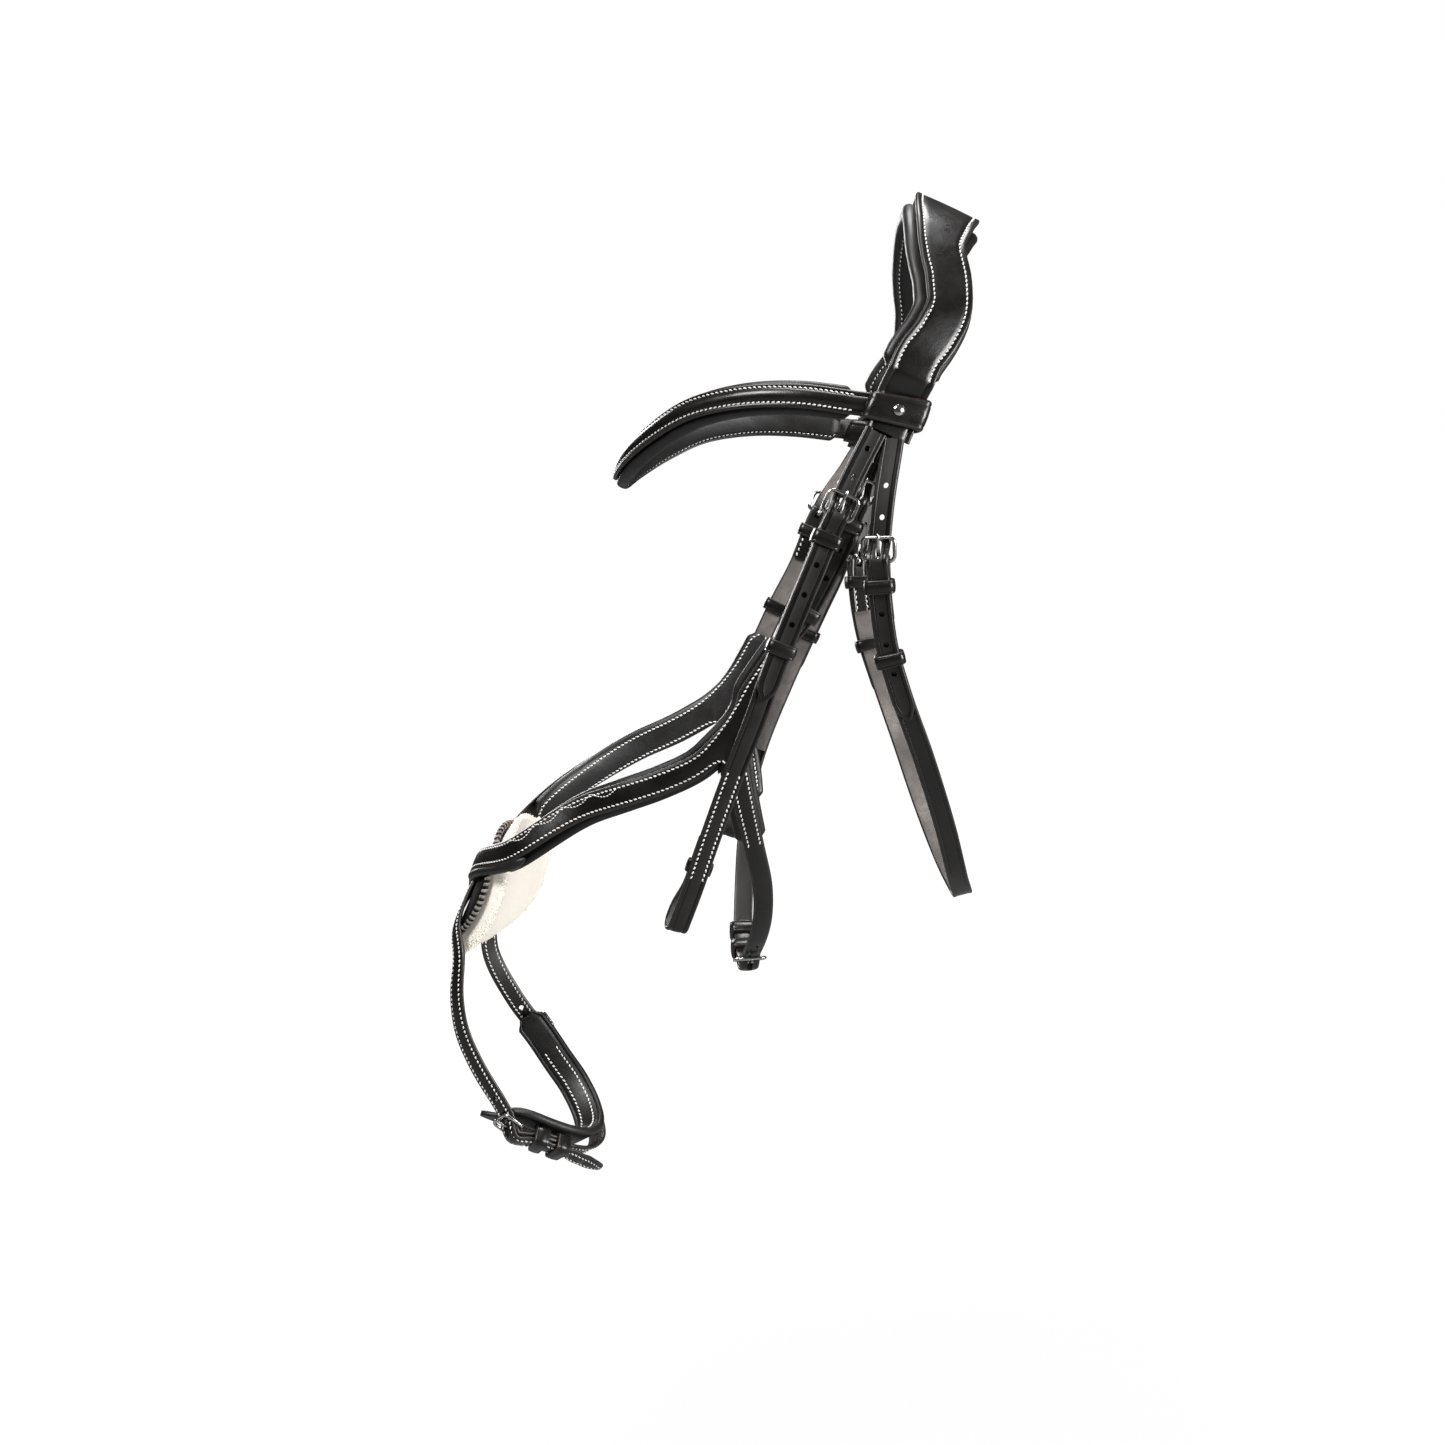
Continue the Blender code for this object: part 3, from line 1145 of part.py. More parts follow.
for name, fastening in (("near_noseband", near_hang), ("far_noseband", far_hang), ("near_chin", near_chin),
                        ("far_chin", far_chin), ("jaw", jaw)):
    piece(name + "_buckle", fastening.frame_shape(), STEEL)
    prong(name + "_prong", fastening, STEEL)

# Nose disc, with its fleece pad behind it
disc_profile = [(DISC_DIAMETER / 2 * r, DISC_THICKNESS * h) for r, h in DISC_SHARES]
piece("nose_disc", bent_disc(disc_profile), BLACK)
fleece_profile = [(FLEECE_DIAMETER / 2 * r, -FLEECE_GAP - FLEECE_THICKNESS * h) for r, h in FLEECE_SHARES]
piece("nose_fleece", bent_disc(fleece_profile), FLEECE)
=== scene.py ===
"""Looks of the padded bridle with a figure eight noseband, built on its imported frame.

Metres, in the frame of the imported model: the head faces -X and its near side is -Y. Every strap
follows a route of places on the head, as its solid does, and gets the rolled edges, creases,
stitching, lining and padding of real bridle leather.
"""

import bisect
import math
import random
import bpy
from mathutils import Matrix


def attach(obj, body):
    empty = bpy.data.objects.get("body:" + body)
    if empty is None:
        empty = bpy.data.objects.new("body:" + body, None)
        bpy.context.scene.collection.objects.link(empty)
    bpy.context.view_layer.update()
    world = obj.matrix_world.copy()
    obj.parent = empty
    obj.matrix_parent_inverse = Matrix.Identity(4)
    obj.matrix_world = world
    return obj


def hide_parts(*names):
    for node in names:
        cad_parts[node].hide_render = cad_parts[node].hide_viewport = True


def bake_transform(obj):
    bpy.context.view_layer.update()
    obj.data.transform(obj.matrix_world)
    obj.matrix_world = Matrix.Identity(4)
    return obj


bl_info = {
    "name": "Figure eight bridle",
    "version": (1, 0, 0),
    "blender": (4, 5, 0),
    "location": "3D View > Sidebar > Bridle",
    "description": "Builds the leather, padding, fleece, buckles and stitching of a figure eight bridle",
    "category": "Object",
}

import bmesh
import bpy
import numpy as np
from mathutils import Vector, noise

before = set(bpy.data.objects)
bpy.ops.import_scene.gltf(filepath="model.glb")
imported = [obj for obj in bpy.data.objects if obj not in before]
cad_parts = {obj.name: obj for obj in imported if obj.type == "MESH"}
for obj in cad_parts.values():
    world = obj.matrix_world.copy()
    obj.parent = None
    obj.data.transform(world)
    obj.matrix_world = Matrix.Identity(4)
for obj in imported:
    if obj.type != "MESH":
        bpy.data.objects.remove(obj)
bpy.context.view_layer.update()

# Head that the straps go round, and the leathers' sizes, as in the solids
HEAD = Vector((0.300, 0.100, 0.500))
NOSE_RADIUS = 0.056
NOSE_TURN = math.radians(13.0)
NOSE_SPAN = 0.108
LEAN_SHARE = 0.6
ROUTE_STEPS = 24
STRAP_WIDTH, STRAP_THICKNESS, CHAPE_THICKNESS = 0.0135, 0.0028, 0.0022
CLEARANCE, EASE, CUT_OVERRUN = 0.0003, 0.0008, 0.001
TIP_LENGTH, TIP_WIDTH, ROUND_TIP_WIDTH, LIFT_SHARE = 0.012, 0.0024, 0.0062, 0.3
HOLE_WIDTH, HOLE_PITCH, PRONG_HOLE_LENGTH = 0.0036, 0.019, 0.0105
CROWN_WIDTH, CROWN_END_WIDTH, CROWN_SHOULDER, CROWN_WAIST = 0.044, 0.030, 0.012, 0.057
CROWN_PAD_MARGIN, CROWN_PAD_THICKNESS, CROWN_PAD_REACH = 0.004, 0.008, 0.139
CROWN_RAMP, CROWN_RAMP_START, CROWN_LAG = 0.014, 0.001, 0.002
CROWN_END_GAP, CROWN_LAYER_GAP, HEADSTRAP_WIDTH = 0.0006, 0.0012, 0.030
BROW_WIDTH, BROW_PAD_WIDTH, BROW_PAD_THICKNESS = 0.0145, 0.0205, 0.0080
BIT_SEAM_LENGTH, BIT_KEEPER_SHARE, BEND_REACH = 0.105, 0.6, 0.012
CROWN_SEAM_INSET, BROW_SEAM_INSET, THREAD_SHIFT, SEAM_GAP_SHARE = 0.0042, 0.0026, 0.0001, 0.6
CROWN_RAISE, CHEEK_RAISE, BILLET_SINK, BILLET_BEAD = 0.0004, 0.0003, -0.0003, 0.0005
BROW_END_MARGIN, BROW_REACH = -0.001, 0.0023
LOOP_LENGTH, LOOP_WALL, LOOP_SIDE_ROOM, LOOP_SETBACK, LOOP_INNER_ROOM = 0.0205, 0.0024, 0.0036, 0.0010, 0.0020
LOOP_LEAN, LOOP_RISE, LOOP_NARROWING, LOOP_SHIFT, LOOP_TUCK = 0.20, 0.0010, 0.0030, 0.0040, 0.0080
LOOP_CORNER, LOOP_TURNS, KEEPER_TURNS, STUD_SEAT_SHARE = 0.9, 7, 5, 1.04
CROWN_SEAM_END, CHIN_GUARD_LENGTH = 0.037, 0.018
WIRE, BUCKLE_ROOM, BAR_ROOM, TOP_ROOM = 0.0024, 0.0017, 0.0005, 0.0016
BUCKLE_LENGTH, BUCKLE_CORNER = 0.0140, 0.0035
PRONG_THICKNESS, PRONG_WIDTH, PRONG_OVERHANG, PRONG_SLOT_ROOM = 0.0018, 0.0024, 0.0022, 0.0010
CHAPE_LENGTH, CHAPE_DROP, SKIVE = 0.036, 0.010, 0.012
KEEPER_LENGTH, KEEPER_WALL, KEEPER_SETBACK, KEEPER_ROOM = 0.0085, 0.0019, 0.0150, 0.0006
CHEEK_RUNNER, CHEEK_TIP, THROAT_RUNNER, THROAT_TIP = 0.085, 0.118, 0.060, 0.100
NOSEBAND_SECOND_KEEPER, NOSEBAND_TIP = 0.074, 0.096
CHIN_SECOND_KEEPER, CHIN_TIP, CHIN_TIP_LIFT = 0.0290, 0.060, 0.0110
JAW_SECOND_KEEPER, JAW_TIP = 0.030, 0.062
BIT_LOOP_RADIUS, BIT_LOOP_CLOSE, BIT_LOOP_RETURN, BIT_KEEPER_SETBACK = 0.0050, 0.032, 0.060, 0.040
ARM_WIDTH, NOSE_ARM_WIDTH, CROTCH_ROUND, JUNCTION_REACH = 0.0150, 0.0160, 0.0060, 0.0200
NOSE_PAD_MARGIN, NOSE_PAD_THICKNESS, NOSE_PAD_GAP = 0.0042, 0.0075, 0.0014
PAD_ROUND, PAD_GAP, PAD_END_SHARE = 0.006, 0.003, 0.6
NOSE_PAD_START, REAR_PAD_REACH, FLARE_REACH, NOSE_ARM_START, CROSS_REACH = 0.096, 0.078, 0.040, 0.050, 0.024
DISC_LEAD, DISC_DIAMETER, DISC_THICKNESS, DISC_GAP = 0.010, 0.088, 0.0030, 0.0005
FLEECE_DIAMETER, FLEECE_THICKNESS, FLEECE_GAP = 0.108, 0.0130, 0.0007
CHIN_PAD_MARGIN, CHIN_PAD_THICKNESS, CHIN_PAD_OVERHANG = 0.0044, 0.0056, 0.0200

# Seams of the pads: their share of the half width, and how deep they lie as a share of the thickness
PAD_SEAM, CHIN_SEAM = (0.71, 0.30), (0.42, 0.55)
# Seams of the Y-shaped leathers and pads, and where those pads are held
PLATE_SEAM_LIFT, PLATE_SEAM_LEAD, Y_PAD_SEAM_INSET, Y_PAD_SEAM_DEPTH = 0.54, 0.010, 0.19, 0.43
Y_HELD_SEAM, Y_HELD_SLACK, Y_HELD_TOP = 0.66, 0.0008, 0.3

# Middle of the head, and the places on each route, as shares of its depth, half width and drop
POLL_SHARES, MUZZLE_SHARES, DISC_SHARES = (-0.088, 0.0, -0.116), (-0.842, 0.0, -1.088), (-0.999, 0.060, -0.854)
THROAT_MIDDLE_SHARES, JAW_MIDDLE_SHARES = (-0.068, 0.0, -0.548), (-0.410, 0.0, -0.808)
CHIN_MIDDLE_SHARES = (-0.875, 0.0, -1.088)
HEADSTRAP_SHARES = [
    (0.000, 0.000, 0.000), (0.000, -0.090, 0.000), (-0.010, -0.250, -0.014), (-0.020, -0.400, -0.046),
    (-0.010, -0.520, -0.090), (-0.014, -0.600, -0.123), (-0.038, -0.660, -0.152), (-0.070, -0.712, -0.180),
    (-0.089, -0.752, -0.208)]
CROWN_END_SHARES = [
    (-0.105, -0.785, -0.237), (-0.128, -0.810, -0.271)]
BROW_SHARES = [
    (-0.682, 0.000, -0.302), (-0.662, -0.200, -0.288), (-0.605, -0.410, -0.262), (-0.522, -0.600, -0.236),
    (-0.418, -0.750, -0.224), (-0.298, -0.840, -0.224), (-0.192, -0.840, -0.232)]
NEAR_CHEEK_SHARES = [
    (-0.149, -0.860, -0.269), (-0.192, -0.900, -0.320), (-0.228, -0.930, -0.368), (-0.265, -0.950, -0.422),
    (-0.308, -0.960, -0.484), (-0.348, -0.960, -0.544), (-0.388, -0.945, -0.612), (-0.432, -0.915, -0.680),
    (-0.482, -0.860, -0.764), (-0.518, -0.810, -0.828), (-0.545, -0.765, -0.872)]
FAR_CHEEK_SHARES = [
    (-0.131, 0.862, -0.275), (-0.138, 0.890, -0.312), (-0.158, 0.935, -0.368), (-0.195, 0.955, -0.436),
    (-0.235, 0.960, -0.488), (-0.275, 0.950, -0.540), (-0.315, 0.940, -0.594), (-0.382, 0.900, -0.694),
    (-0.413, 0.860, -0.758), (-0.437, 0.830, -0.808)]
NEAR_HANGER_SHARES = [
    (-0.152, -0.808, -0.294), (-0.185, -0.785, -0.348), (-0.232, -0.780, -0.420), (-0.285, -0.790, -0.480),
    (-0.345, -0.790, -0.534), (-0.392, -0.780, -0.578), (-0.428, -0.770, -0.624)]
FAR_HANGER_SHARES = [
    (-0.162, 0.822, -0.286), (-0.235, 0.805, -0.352), (-0.285, 0.810, -0.426), (-0.335, 0.810, -0.484),
    (-0.375, 0.810, -0.536), (-0.408, 0.800, -0.576), (-0.438, 0.790, -0.612)]
THROAT_SHARES = [
    (-0.113, -0.860, -0.2885), (-0.129, -0.885, -0.354), (-0.136, -0.875, -0.420), (-0.128, -0.845, -0.480),
    (-0.115, -0.800, -0.526), (-0.088, -0.750, -0.578), (-0.038, -0.640, -0.656), (0.018, -0.450, -0.752),
    (0.058, -0.220, -0.830), (0.078, 0.000, -0.860), (0.058, 0.220, -0.836), (0.012, 0.420, -0.764),
    (-0.042, 0.610, -0.666), (-0.085, 0.720, -0.590), (-0.115, 0.760, -0.534), (-0.132, 0.785, -0.482),
    (-0.138, 0.800, -0.420), (-0.125, 0.820, -0.368), (-0.093, 0.845, -0.293)]
NEAR_BRANCH_SHARES = [
    (-0.498, -0.750, -0.670), (-0.582, -0.710, -0.696), (-0.662, -0.660, -0.714), (-0.738, -0.570, -0.732)]
FAR_BRANCH_SHARES = [
    (-0.498, 0.770, -0.634), (-0.578, 0.740, -0.660), (-0.665, 0.690, -0.682), (-0.748, 0.580, -0.708)]
NEAR_LOWER_SHARES = [
    (-1.023, -0.360, -0.942), (-1.027, -0.430, -0.990), (-1.019, -0.450, -1.034), (-0.993, -0.460, -1.076),
    (-0.953, -0.465, -1.120)]
FAR_LOWER_SHARES = [
    (-1.005, 0.400, -0.976), (-0.957, 0.440, -1.045)]
CHIN_SHARES = [
    (-0.892, 0.450, -1.100), (-0.853, 0.410, -1.132), (-0.805, 0.330, -1.167), (-0.767, 0.170, -1.198),
    (-0.755, 0.000, -1.211), (-0.769, -0.180, -1.210), (-0.808, -0.330, -1.196), (-0.855, -0.400, -1.180),
    (-0.905, -0.430, -1.166)]
CHIN_TAB_SHARES = [
    (-0.950, -0.375, -1.172), (-1.000, -0.370, -1.165)]
JAW_SHARES = [
    (-0.422, -0.760, -0.678), (-0.405, -0.710, -0.732), (-0.387, -0.630, -0.784), (-0.371, -0.520, -0.834),
    (-0.371, -0.380, -0.886), (-0.387, -0.210, -0.930), (-0.402, -0.020, -0.952), (-0.412, 0.200, -0.936),
    (-0.412, 0.380, -0.884), (-0.408, 0.500, -0.828), (-0.398, 0.620, -0.764), (-0.408, 0.710, -0.704),
    (-0.428, 0.770, -0.652)]
# Places of the crossed arms, along and across the nose, as shares of its span
NEAR_ARM_SHARES = [(-0.40, -0.50), (-0.22, -0.26), (0.00, 0.00), (0.18, 0.14), (0.36, 0.28)]
FAR_ARM_SHARES = [(-0.60, 0.36), (-0.34, 0.19), (0.00, 0.00), (0.13, -0.11), (0.26, -0.26)]
TIP_SHARES = [(0.0, 0.0), (0.2, 0.06), (0.45, 0.22), (0.65, 0.43), (0.82, 0.66), (0.93, 0.86), (1.0, 1.0)]
PLATE_SHARES = [(-0.90, 0.46), (0.0, 0.72), (0.90, 0.46), (1.0, 0.0),
                (0.95, -0.5), (0.0, -0.5), (-0.95, -0.5), (-1.0, 0.0)]
PAD_SHARES = [(-0.80, 0.5), (0.0, 0.5), (0.80, 0.5), (1.0, 0.05),
              (0.74, -0.36), (0.0, -0.5), (-0.74, -0.36), (-1.0, 0.05)]
FANCY_START, FANCY_END, FANCY_PITCH, FANCY_THREAD_SHARE, FANCY_DEPTH_SHARE = 0.154, 0.070, 0.0022, 0.75, 0.36
FANCY_ARCS, FANCY_STEPS, FANCY_ARC_SHARE, FANCY_PEAK = 4, 100, 0.8, 0.4
FANCY_INSET_SHARE, FANCY_LIFT, FANCY_FALL = 0.62, 0.66, 0.16
ROLL_START, ROLL_END, ROLL_OVERHANG, ROLL_STEP, ROLL_RADIUS = 0.080, 0.004, 0.0016, 0.0015, 0.0030
ROLL_SIDES, ROLL_END_ROUND, ROLL_END_STEPS = 12, 0.3, 4.0

# Nose disc: insets and height shares of the groove inside its rim, and the lacing round the rim
DISC_FACE_SHARE, DISC_RIM, DISC_SIDES = 0.9, 0.0017, 96
DISC_GROOVE = [(0.0046, 0.86), (0.0040, 0.70), (0.0034, 0.90)]
LACE_TURNS, LACE_STEPS, LACE_ARC, LACE_LEAN = 64, 6, 1.15, 0.5
LACE_INSET, LACE_REACH, LACE_RISE, LACE_WIDTH, LACE_THICKNESS = 0.0016, 0.0022, 0.0003, 0.0022, 0.0008

# Fleece: rings and sides of its skin, the tufts on it, and the locks round its rim
FLEECE_RINGS, FLEECE_SIDES, FLEECE_MIDDLE, FLEECE_ROUND, FLEECE_TILT = 70, 200, 0.004, 0.7, 0.9
TUFTS, TUFT_DEPTH = ((420.0, 0.6), (1100.0, 0.4)), 0.0004
LOCK_ARC, LOCK_LENGTH, LOCK_WIDTH, LOCK_ANGLES = (0.40, 0.66), (0.35, 0.8), (0.0003, 0.0005), (0.0, 2.1, 4.2)
LOCK_ROOT, LOCK_BEND, LOCK_TAPER, LOCK_SHARES = 0.0006, 0.35, 0.75, (0.0, 0.4, 0.75, 1.0)
FLEECE_SEED = 8

# Stud: radii and heights over its seat
STUD_PROFILE = [(0.0036, 0.0), (0.0036, 0.0004), (0.0032, 0.0008), (0.0022, 0.0014), (0.0011, 0.0017),
                (0.0003, 0.0018)]
# Prong: corners of its eye's section, and (way along, width, thickness, rise) of its tongue
PRONG_EYE = [(-0.8, 1), (0.8, 1), (1, 0.7), (1, -0.7), (0.8, -1), (-0.8, -1), (-1, -0.7), (-1, 0.7)]
PRONG_TONGUE = [(0.0, 1.0, 0.8, 0.0), (0.25, 0.95, 0.95, 0.0003), (0.55, 0.85, 1.0, 0.0004),
                (0.85, 0.78, 1.0, 0.0001), (1.0, 0.7, 0.85, 0.0), (1.04, 0.4, 0.4, -0.0002)]
# Stitch: (way along, thickness, rise) of its thread, and the knot that ends a seam
STITCH_PROFILE = [(-0.5, 0.45, -0.55), (-0.3, 0.95, 0.1), (0.0, 1.1, 0.3), (0.3, 0.95, 0.1),
                  (0.5, 0.45, -0.55)]
KNOT_SIZE, KNOT_LIFT, KNOT_TURNS = 0.85, 0.2, (0.15, 0.7, 1.3, 1.9, 2.6)

# Cloth of the stuffed pads
CLOTH_QUALITY, CLOTH_MASS, CLOTH_STIFFNESS, CLOTH_BENDING, CLOTH_FRAMES = 6, 0.05, 12.0, 0.4, 15
CLOTH_PRESSURE, CLOTH_CAP = 6.0, 0.0009

# Studio. The floor's fade is its least and full share, and the distances where it starts and ends
FLOOR_HALF, FLOOR_ROUGHNESS, FLOOR_GLOW, FLOOR_FADE = 4.0, 0.9, 1.10, (0.84, 1.0, 1.0, 1.7)
WHITE, WORLD_LIGHT = (1.0, 1.0, 1.0, 1.0), 0.07
STUDIO_MIDDLE = (-0.14, 0.0, -0.30)
LAMPS = [("key", (-1.1, -1.3, 1.4), 0.9, 54.0), ("fill", (1.6, -0.9, 0.0), 0.8, 44.0),
         ("top", (0.1, 0.2, 1.5), 0.8, 32.0), ("back", (-0.9, 1.5, 0.2), 0.9, 22.0)]
CAMERA_PLACE, CAMERA_DROP, CAMERA_YAW, SENSOR_WIDTH = (-0.1146, -1.0, -0.2096), 6.18, 1.32, 36.0
# Numbers of the places where the bars and the crossing lie
HANGER_BAR, CHEEK_BAR, THROAT_BAR, JAW_BAR, CROSSING = 1, 2, 2, 7, 7
# Width and thickness of each kind of strap
STRAP_SIZE, CHAPE_SIZE = (STRAP_WIDTH, STRAP_THICKNESS), (STRAP_WIDTH, CHAPE_THICKNESS)
ARM_SIZE, NOSE_ARM_SIZE = (ARM_WIDTH, STRAP_THICKNESS), (NOSE_ARM_WIDTH, STRAP_THICKNESS)

# Steps of the fine meshes
LARGEST_STEP, SMALLEST_STEP, SAG = 0.0050, 0.0016, 0.00006
TURN_STEPS, RISE_STEPS, CORNER_STEPS, WIRE_SIDES = 12, 6, 8, 14
STRAIGHT_ANGLE, SHARP_ANGLE = 75.0, 50.0
HOLE_SIDES, EYE_SIDES, TONGUE_SIDES, STUD_SIDES = 14, 20, 10, 32
FACE, EDGE, FLESH, CHANNEL = 0, 1, 2, 3


def in_head(shares):
    """The point at these shares of the head's depth, half width and drop."""
    return Vector(a * b for a, b in zip(shares, HEAD))


POLL, MUZZLE, DISC_CENTRE = in_head(POLL_SHARES), in_head(MUZZLE_SHARES), in_head(DISC_SHARES)
HEAD_LINE = (MUZZLE - POLL).normalized()
NOSE_SIDE = Vector((math.sin(NOSE_TURN), math.cos(NOSE_TURN), 0.0))
NOSE_DOWN = (HEAD_LINE - NOSE_SIDE * HEAD_LINE.dot(NOSE_SIDE)).normalized()
NOSE_FRONT = NOSE_SIDE.cross(NOSE_DOWN).normalized()
NOSE_AXIS = DISC_CENTRE - NOSE_FRONT * NOSE_RADIUS


def away_from_head(point):
    """Outward side at a point, seen from the line through the middle of the head."""
    along = max(0.0, min((MUZZLE - POLL).length, (point - POLL).dot(HEAD_LINE)))
    away = point - (POLL + HEAD_LINE * along)
    return Vector((away.x * LEAN_SHARE, away.y, away.z * LEAN_SHARE)).normalized()


def places(shares, about=None):
    """Points of a route, each with its outward side."""
    points = [in_head(share) for share in shares]
    return [(p, away_from_head(p) if about is None else (p - in_head(about)).normalized()) for p in points]


def nose_places(shares):
    """Points on the bent face of the nose disc, each with its outward side."""
    result = []
    for along, across in shares:
        angle = across * NOSE_SPAN / NOSE_RADIUS
        away = NOSE_FRONT * math.cos(angle) + NOSE_SIDE * math.sin(angle)
        result.append((NOSE_AXIS + NOSE_DOWN * along * NOSE_SPAN + away * NOSE_RADIUS, away))
    return result


def mirrored(stops):
    """The same places on the far side of the head."""
    return [(Vector((p.x, -p.y, p.z)), Vector((a.x, -a.y, a.z))) for p, a in stops]


def both_sides(half):
    """Places from the near end over the middle to the far end."""
    return list(reversed(half)) + mirrored(half[1:])


class Route:
    """A smooth line through places, measured by the distance along it."""

    def __init__(self, stops):
        points = [point for point, away in stops]
        gaps = [(b - a).length for a, b in zip(points, points[1:])]
        chords = [(b - a) / gap for a, b, gap in zip(points, points[1:], gaps)]
        slopes = [chords[0]]
        for i in range(1, len(chords)):
            before, after = gaps[i - 1], gaps[i]
            slopes.append((chords[i - 1] * after + chords[i] * before) / (before + after))
        slopes.append(chords[-1])
        self.points, self.sides = [], []
        for i, gap in enumerate(gaps):
            for step in range(ROUTE_STEPS):
                t = step / ROUTE_STEPS
                start = points[i] * (2 * t ** 3 - 3 * t ** 2 + 1) + slopes[i] * gap * (t ** 3 - 2 * t ** 2 + t)
                end = points[i + 1] * (3 * t ** 2 - 2 * t ** 3) + slopes[i + 1] * gap * (t ** 3 - t ** 2)
                self.points.append(start + end)
                self.sides.append(stops[i][1].lerp(stops[i + 1][1], t))
        self.points.append(points[-1])
        self.sides.append(stops[-1][1])
        self.lengths = [0.0]
        for a, b in zip(self.points, self.points[1:]):
            self.lengths.append(self.lengths[-1] + (b - a).length)
        self.length = self.lengths[-1]

    def mark(self, number):
        """Distance along the route to one of its places."""
        return self.lengths[number * ROUTE_STEPS]

    def heading(self, i):
        """Direction of the route at one of its sample points."""
        last = len(self.points) - 1
        return (self.points[min(i + 1, last)] - self.points[max(i - 1, 0)]).normalized()

    def frame(self, s):
        """Point, direction, direction across and outward direction at a distance along the route."""
        i = max(0, min(len(self.points) - 2, bisect.bisect_left(self.lengths, s) - 1))
        share = (s - self.lengths[i]) / (self.lengths[i + 1] - self.lengths[i])
        point = self.points[i].lerp(self.points[i + 1], share)
        within = max(0.0, min(1.0, share))
        along = self.heading(i).lerp(self.heading(i + 1), within).normalized()
        side = self.sides[i].lerp(self.sides[i + 1], within)
        out = (side - along * side.dot(along)).normalized()
        return point, along, along.cross(out), out

    def step(self, s):
        """Length of a facet at a distance along the route, shorter where it bends more."""
        turn = self.frame(s)[1].angle(self.frame(s + SMALLEST_STEP)[1])
        if turn < 1e-6:
            return LARGEST_STEP
        return max(SMALLEST_STEP, min(LARGEST_STEP, math.sqrt(8.0 * SAG * SMALLEST_STEP / turn)))


def distances(route, start, end):
    """Distances from start to end, closer together where the route bends."""
    way = 1.0 if end > start else -1.0
    found = [start]
    while abs(end - found[-1]) > route.step(found[-1]):
        found.append(found[-1] + way * route.step(found[-1]))
    reached = found[-1] + way * route.step(found[-1])
    return [start + (s - start) * (end - start) / (reached - start) for s in found] + [end]


def run(route, keys):
    """Stations of a strap through (distance, height, width, thickness) keys, eased between them."""
    stations = []
    for first, last in zip(keys, keys[1:]):
        stops = distances(route, first[0], last[0])
        if first[1:] != last[1:] and len(stops) <= RISE_STEPS:
            stops = [first[0] + (last[0] - first[0]) * i / RISE_STEPS for i in range(RISE_STEPS + 1)]
        for s in stops[:-1]:
            share = (s - first[0]) / (last[0] - first[0])
            share = share * share * (3 - 2 * share)
            stations.append((s, *(a + (b - a) * share for a, b in zip(first[1:], last[1:]))))
    stations.append(keys[-1])
    return stations


def pointed(stations, way, lift=0.0, tip_width=TIP_WIDTH):
    """Stations with the last one carried on into a billet's narrowed tip."""
    s, n, width, thickness = stations[-1]
    for reach, narrowing in TIP_SHARES[1:]:
        narrow = width + (tip_width - width) * narrowing
        stations.append((s + way * TIP_LENGTH * reach, n + lift * reach, narrow, thickness))
    return stations


class Band:
    """Frames of a strap along a route: its middle, its direction, across, up, half width and thickness."""

    def __init__(self, route, stations):
        last = len(stations) - 1
        self.frames, self.reach = [], [0.0]
        for i, (s, n, width, thickness) in enumerate(stations):
            point, along, across, out = route.frame(s)
            ahead, behind = stations[min(i + 1, last)], stations[max(i - 1, 0)]
            a, b = route.frame(ahead[0]), route.frame(behind[0])
            line = a[0] + a[3] * ahead[1] - b[0] - b[3] * behind[1]
            line = (line - across * line.dot(across)).normalized()
            self.frames.append((point + out * n, line, across, across.cross(line), width / 2, thickness))
        for a, b in zip(self.frames, self.frames[1:]):
            self.reach.append(self.reach[-1] + (b[0] - a[0]).length)

    def rings(self, outline):
        """Points of each section, from an outline made for its half width and thickness."""
        return [[middle + across * a + up * b for a, b in outline(half, thick)]
                for middle, line, across, up, half, thick in self.frames]

    def row(self, inset, lift, side, start=0.0, end=0.0):
        """A seam's points and upward sides, at an inset from the edge on one side."""
        wanted = [(m + c * side * (half - inset) + u * lift(thick), u)
                  for m, l, c, u, half, thick in self.frames]
        return [spot for spot, d in zip(wanted, self.reach) if start <= d <= self.reach[-1] - end]


def leather_outline(crown=0.0, roll=0.0011, crease=0.0030, bead=0.0003):
    """Section of a strap: raised and rolled edges, a crease inside each, and a sunk, flat or raised middle."""
    def outline(half, thick):
        r = min(roll, thick * 0.48, half * 0.4)
        inside = half - max(r, crease)
        top = thick / 2
        right = [(inside + 0.00045, top + bead * 0.7), (half - r, top + bead * 0.8)]
        right += [(half - r + r * math.sin(a), top - r + (r + bead * 0.8) * math.cos(a))
                  for a in (0.45, 0.95, 1.57)]
        right += [(half - r + r * math.cos(a), -top + r - r * math.sin(a)) for a in (0.1, 0.8)]
        right += [(half - r, -top), (half * 0.35, -top)]
        ridge = [(inside, top - 0.00026), (inside - 0.0005, top + crown * 0.12)]
        ridge += [(inside * share, top + crown * math.sin(math.pi / 2 * (1 - share)) ** 0.8)
                  for share in (0.72, 0.38)]
        half_line = [(0.0, top + crown)] + list(reversed(ridge)) + right
        return half_line + [(-a, b) for a, b in reversed(half_line[1:])]
    return outline


LEATHER_FINISHES = [FACE] * 6 + [EDGE] * 6 + [FLESH] * 3 + [EDGE] * 6 + [FACE] * 6
CHANNEL_FINISHES = [CHANNEL] * 3 + LEATHER_FINISHES[3:-3] + [CHANNEL] * 3


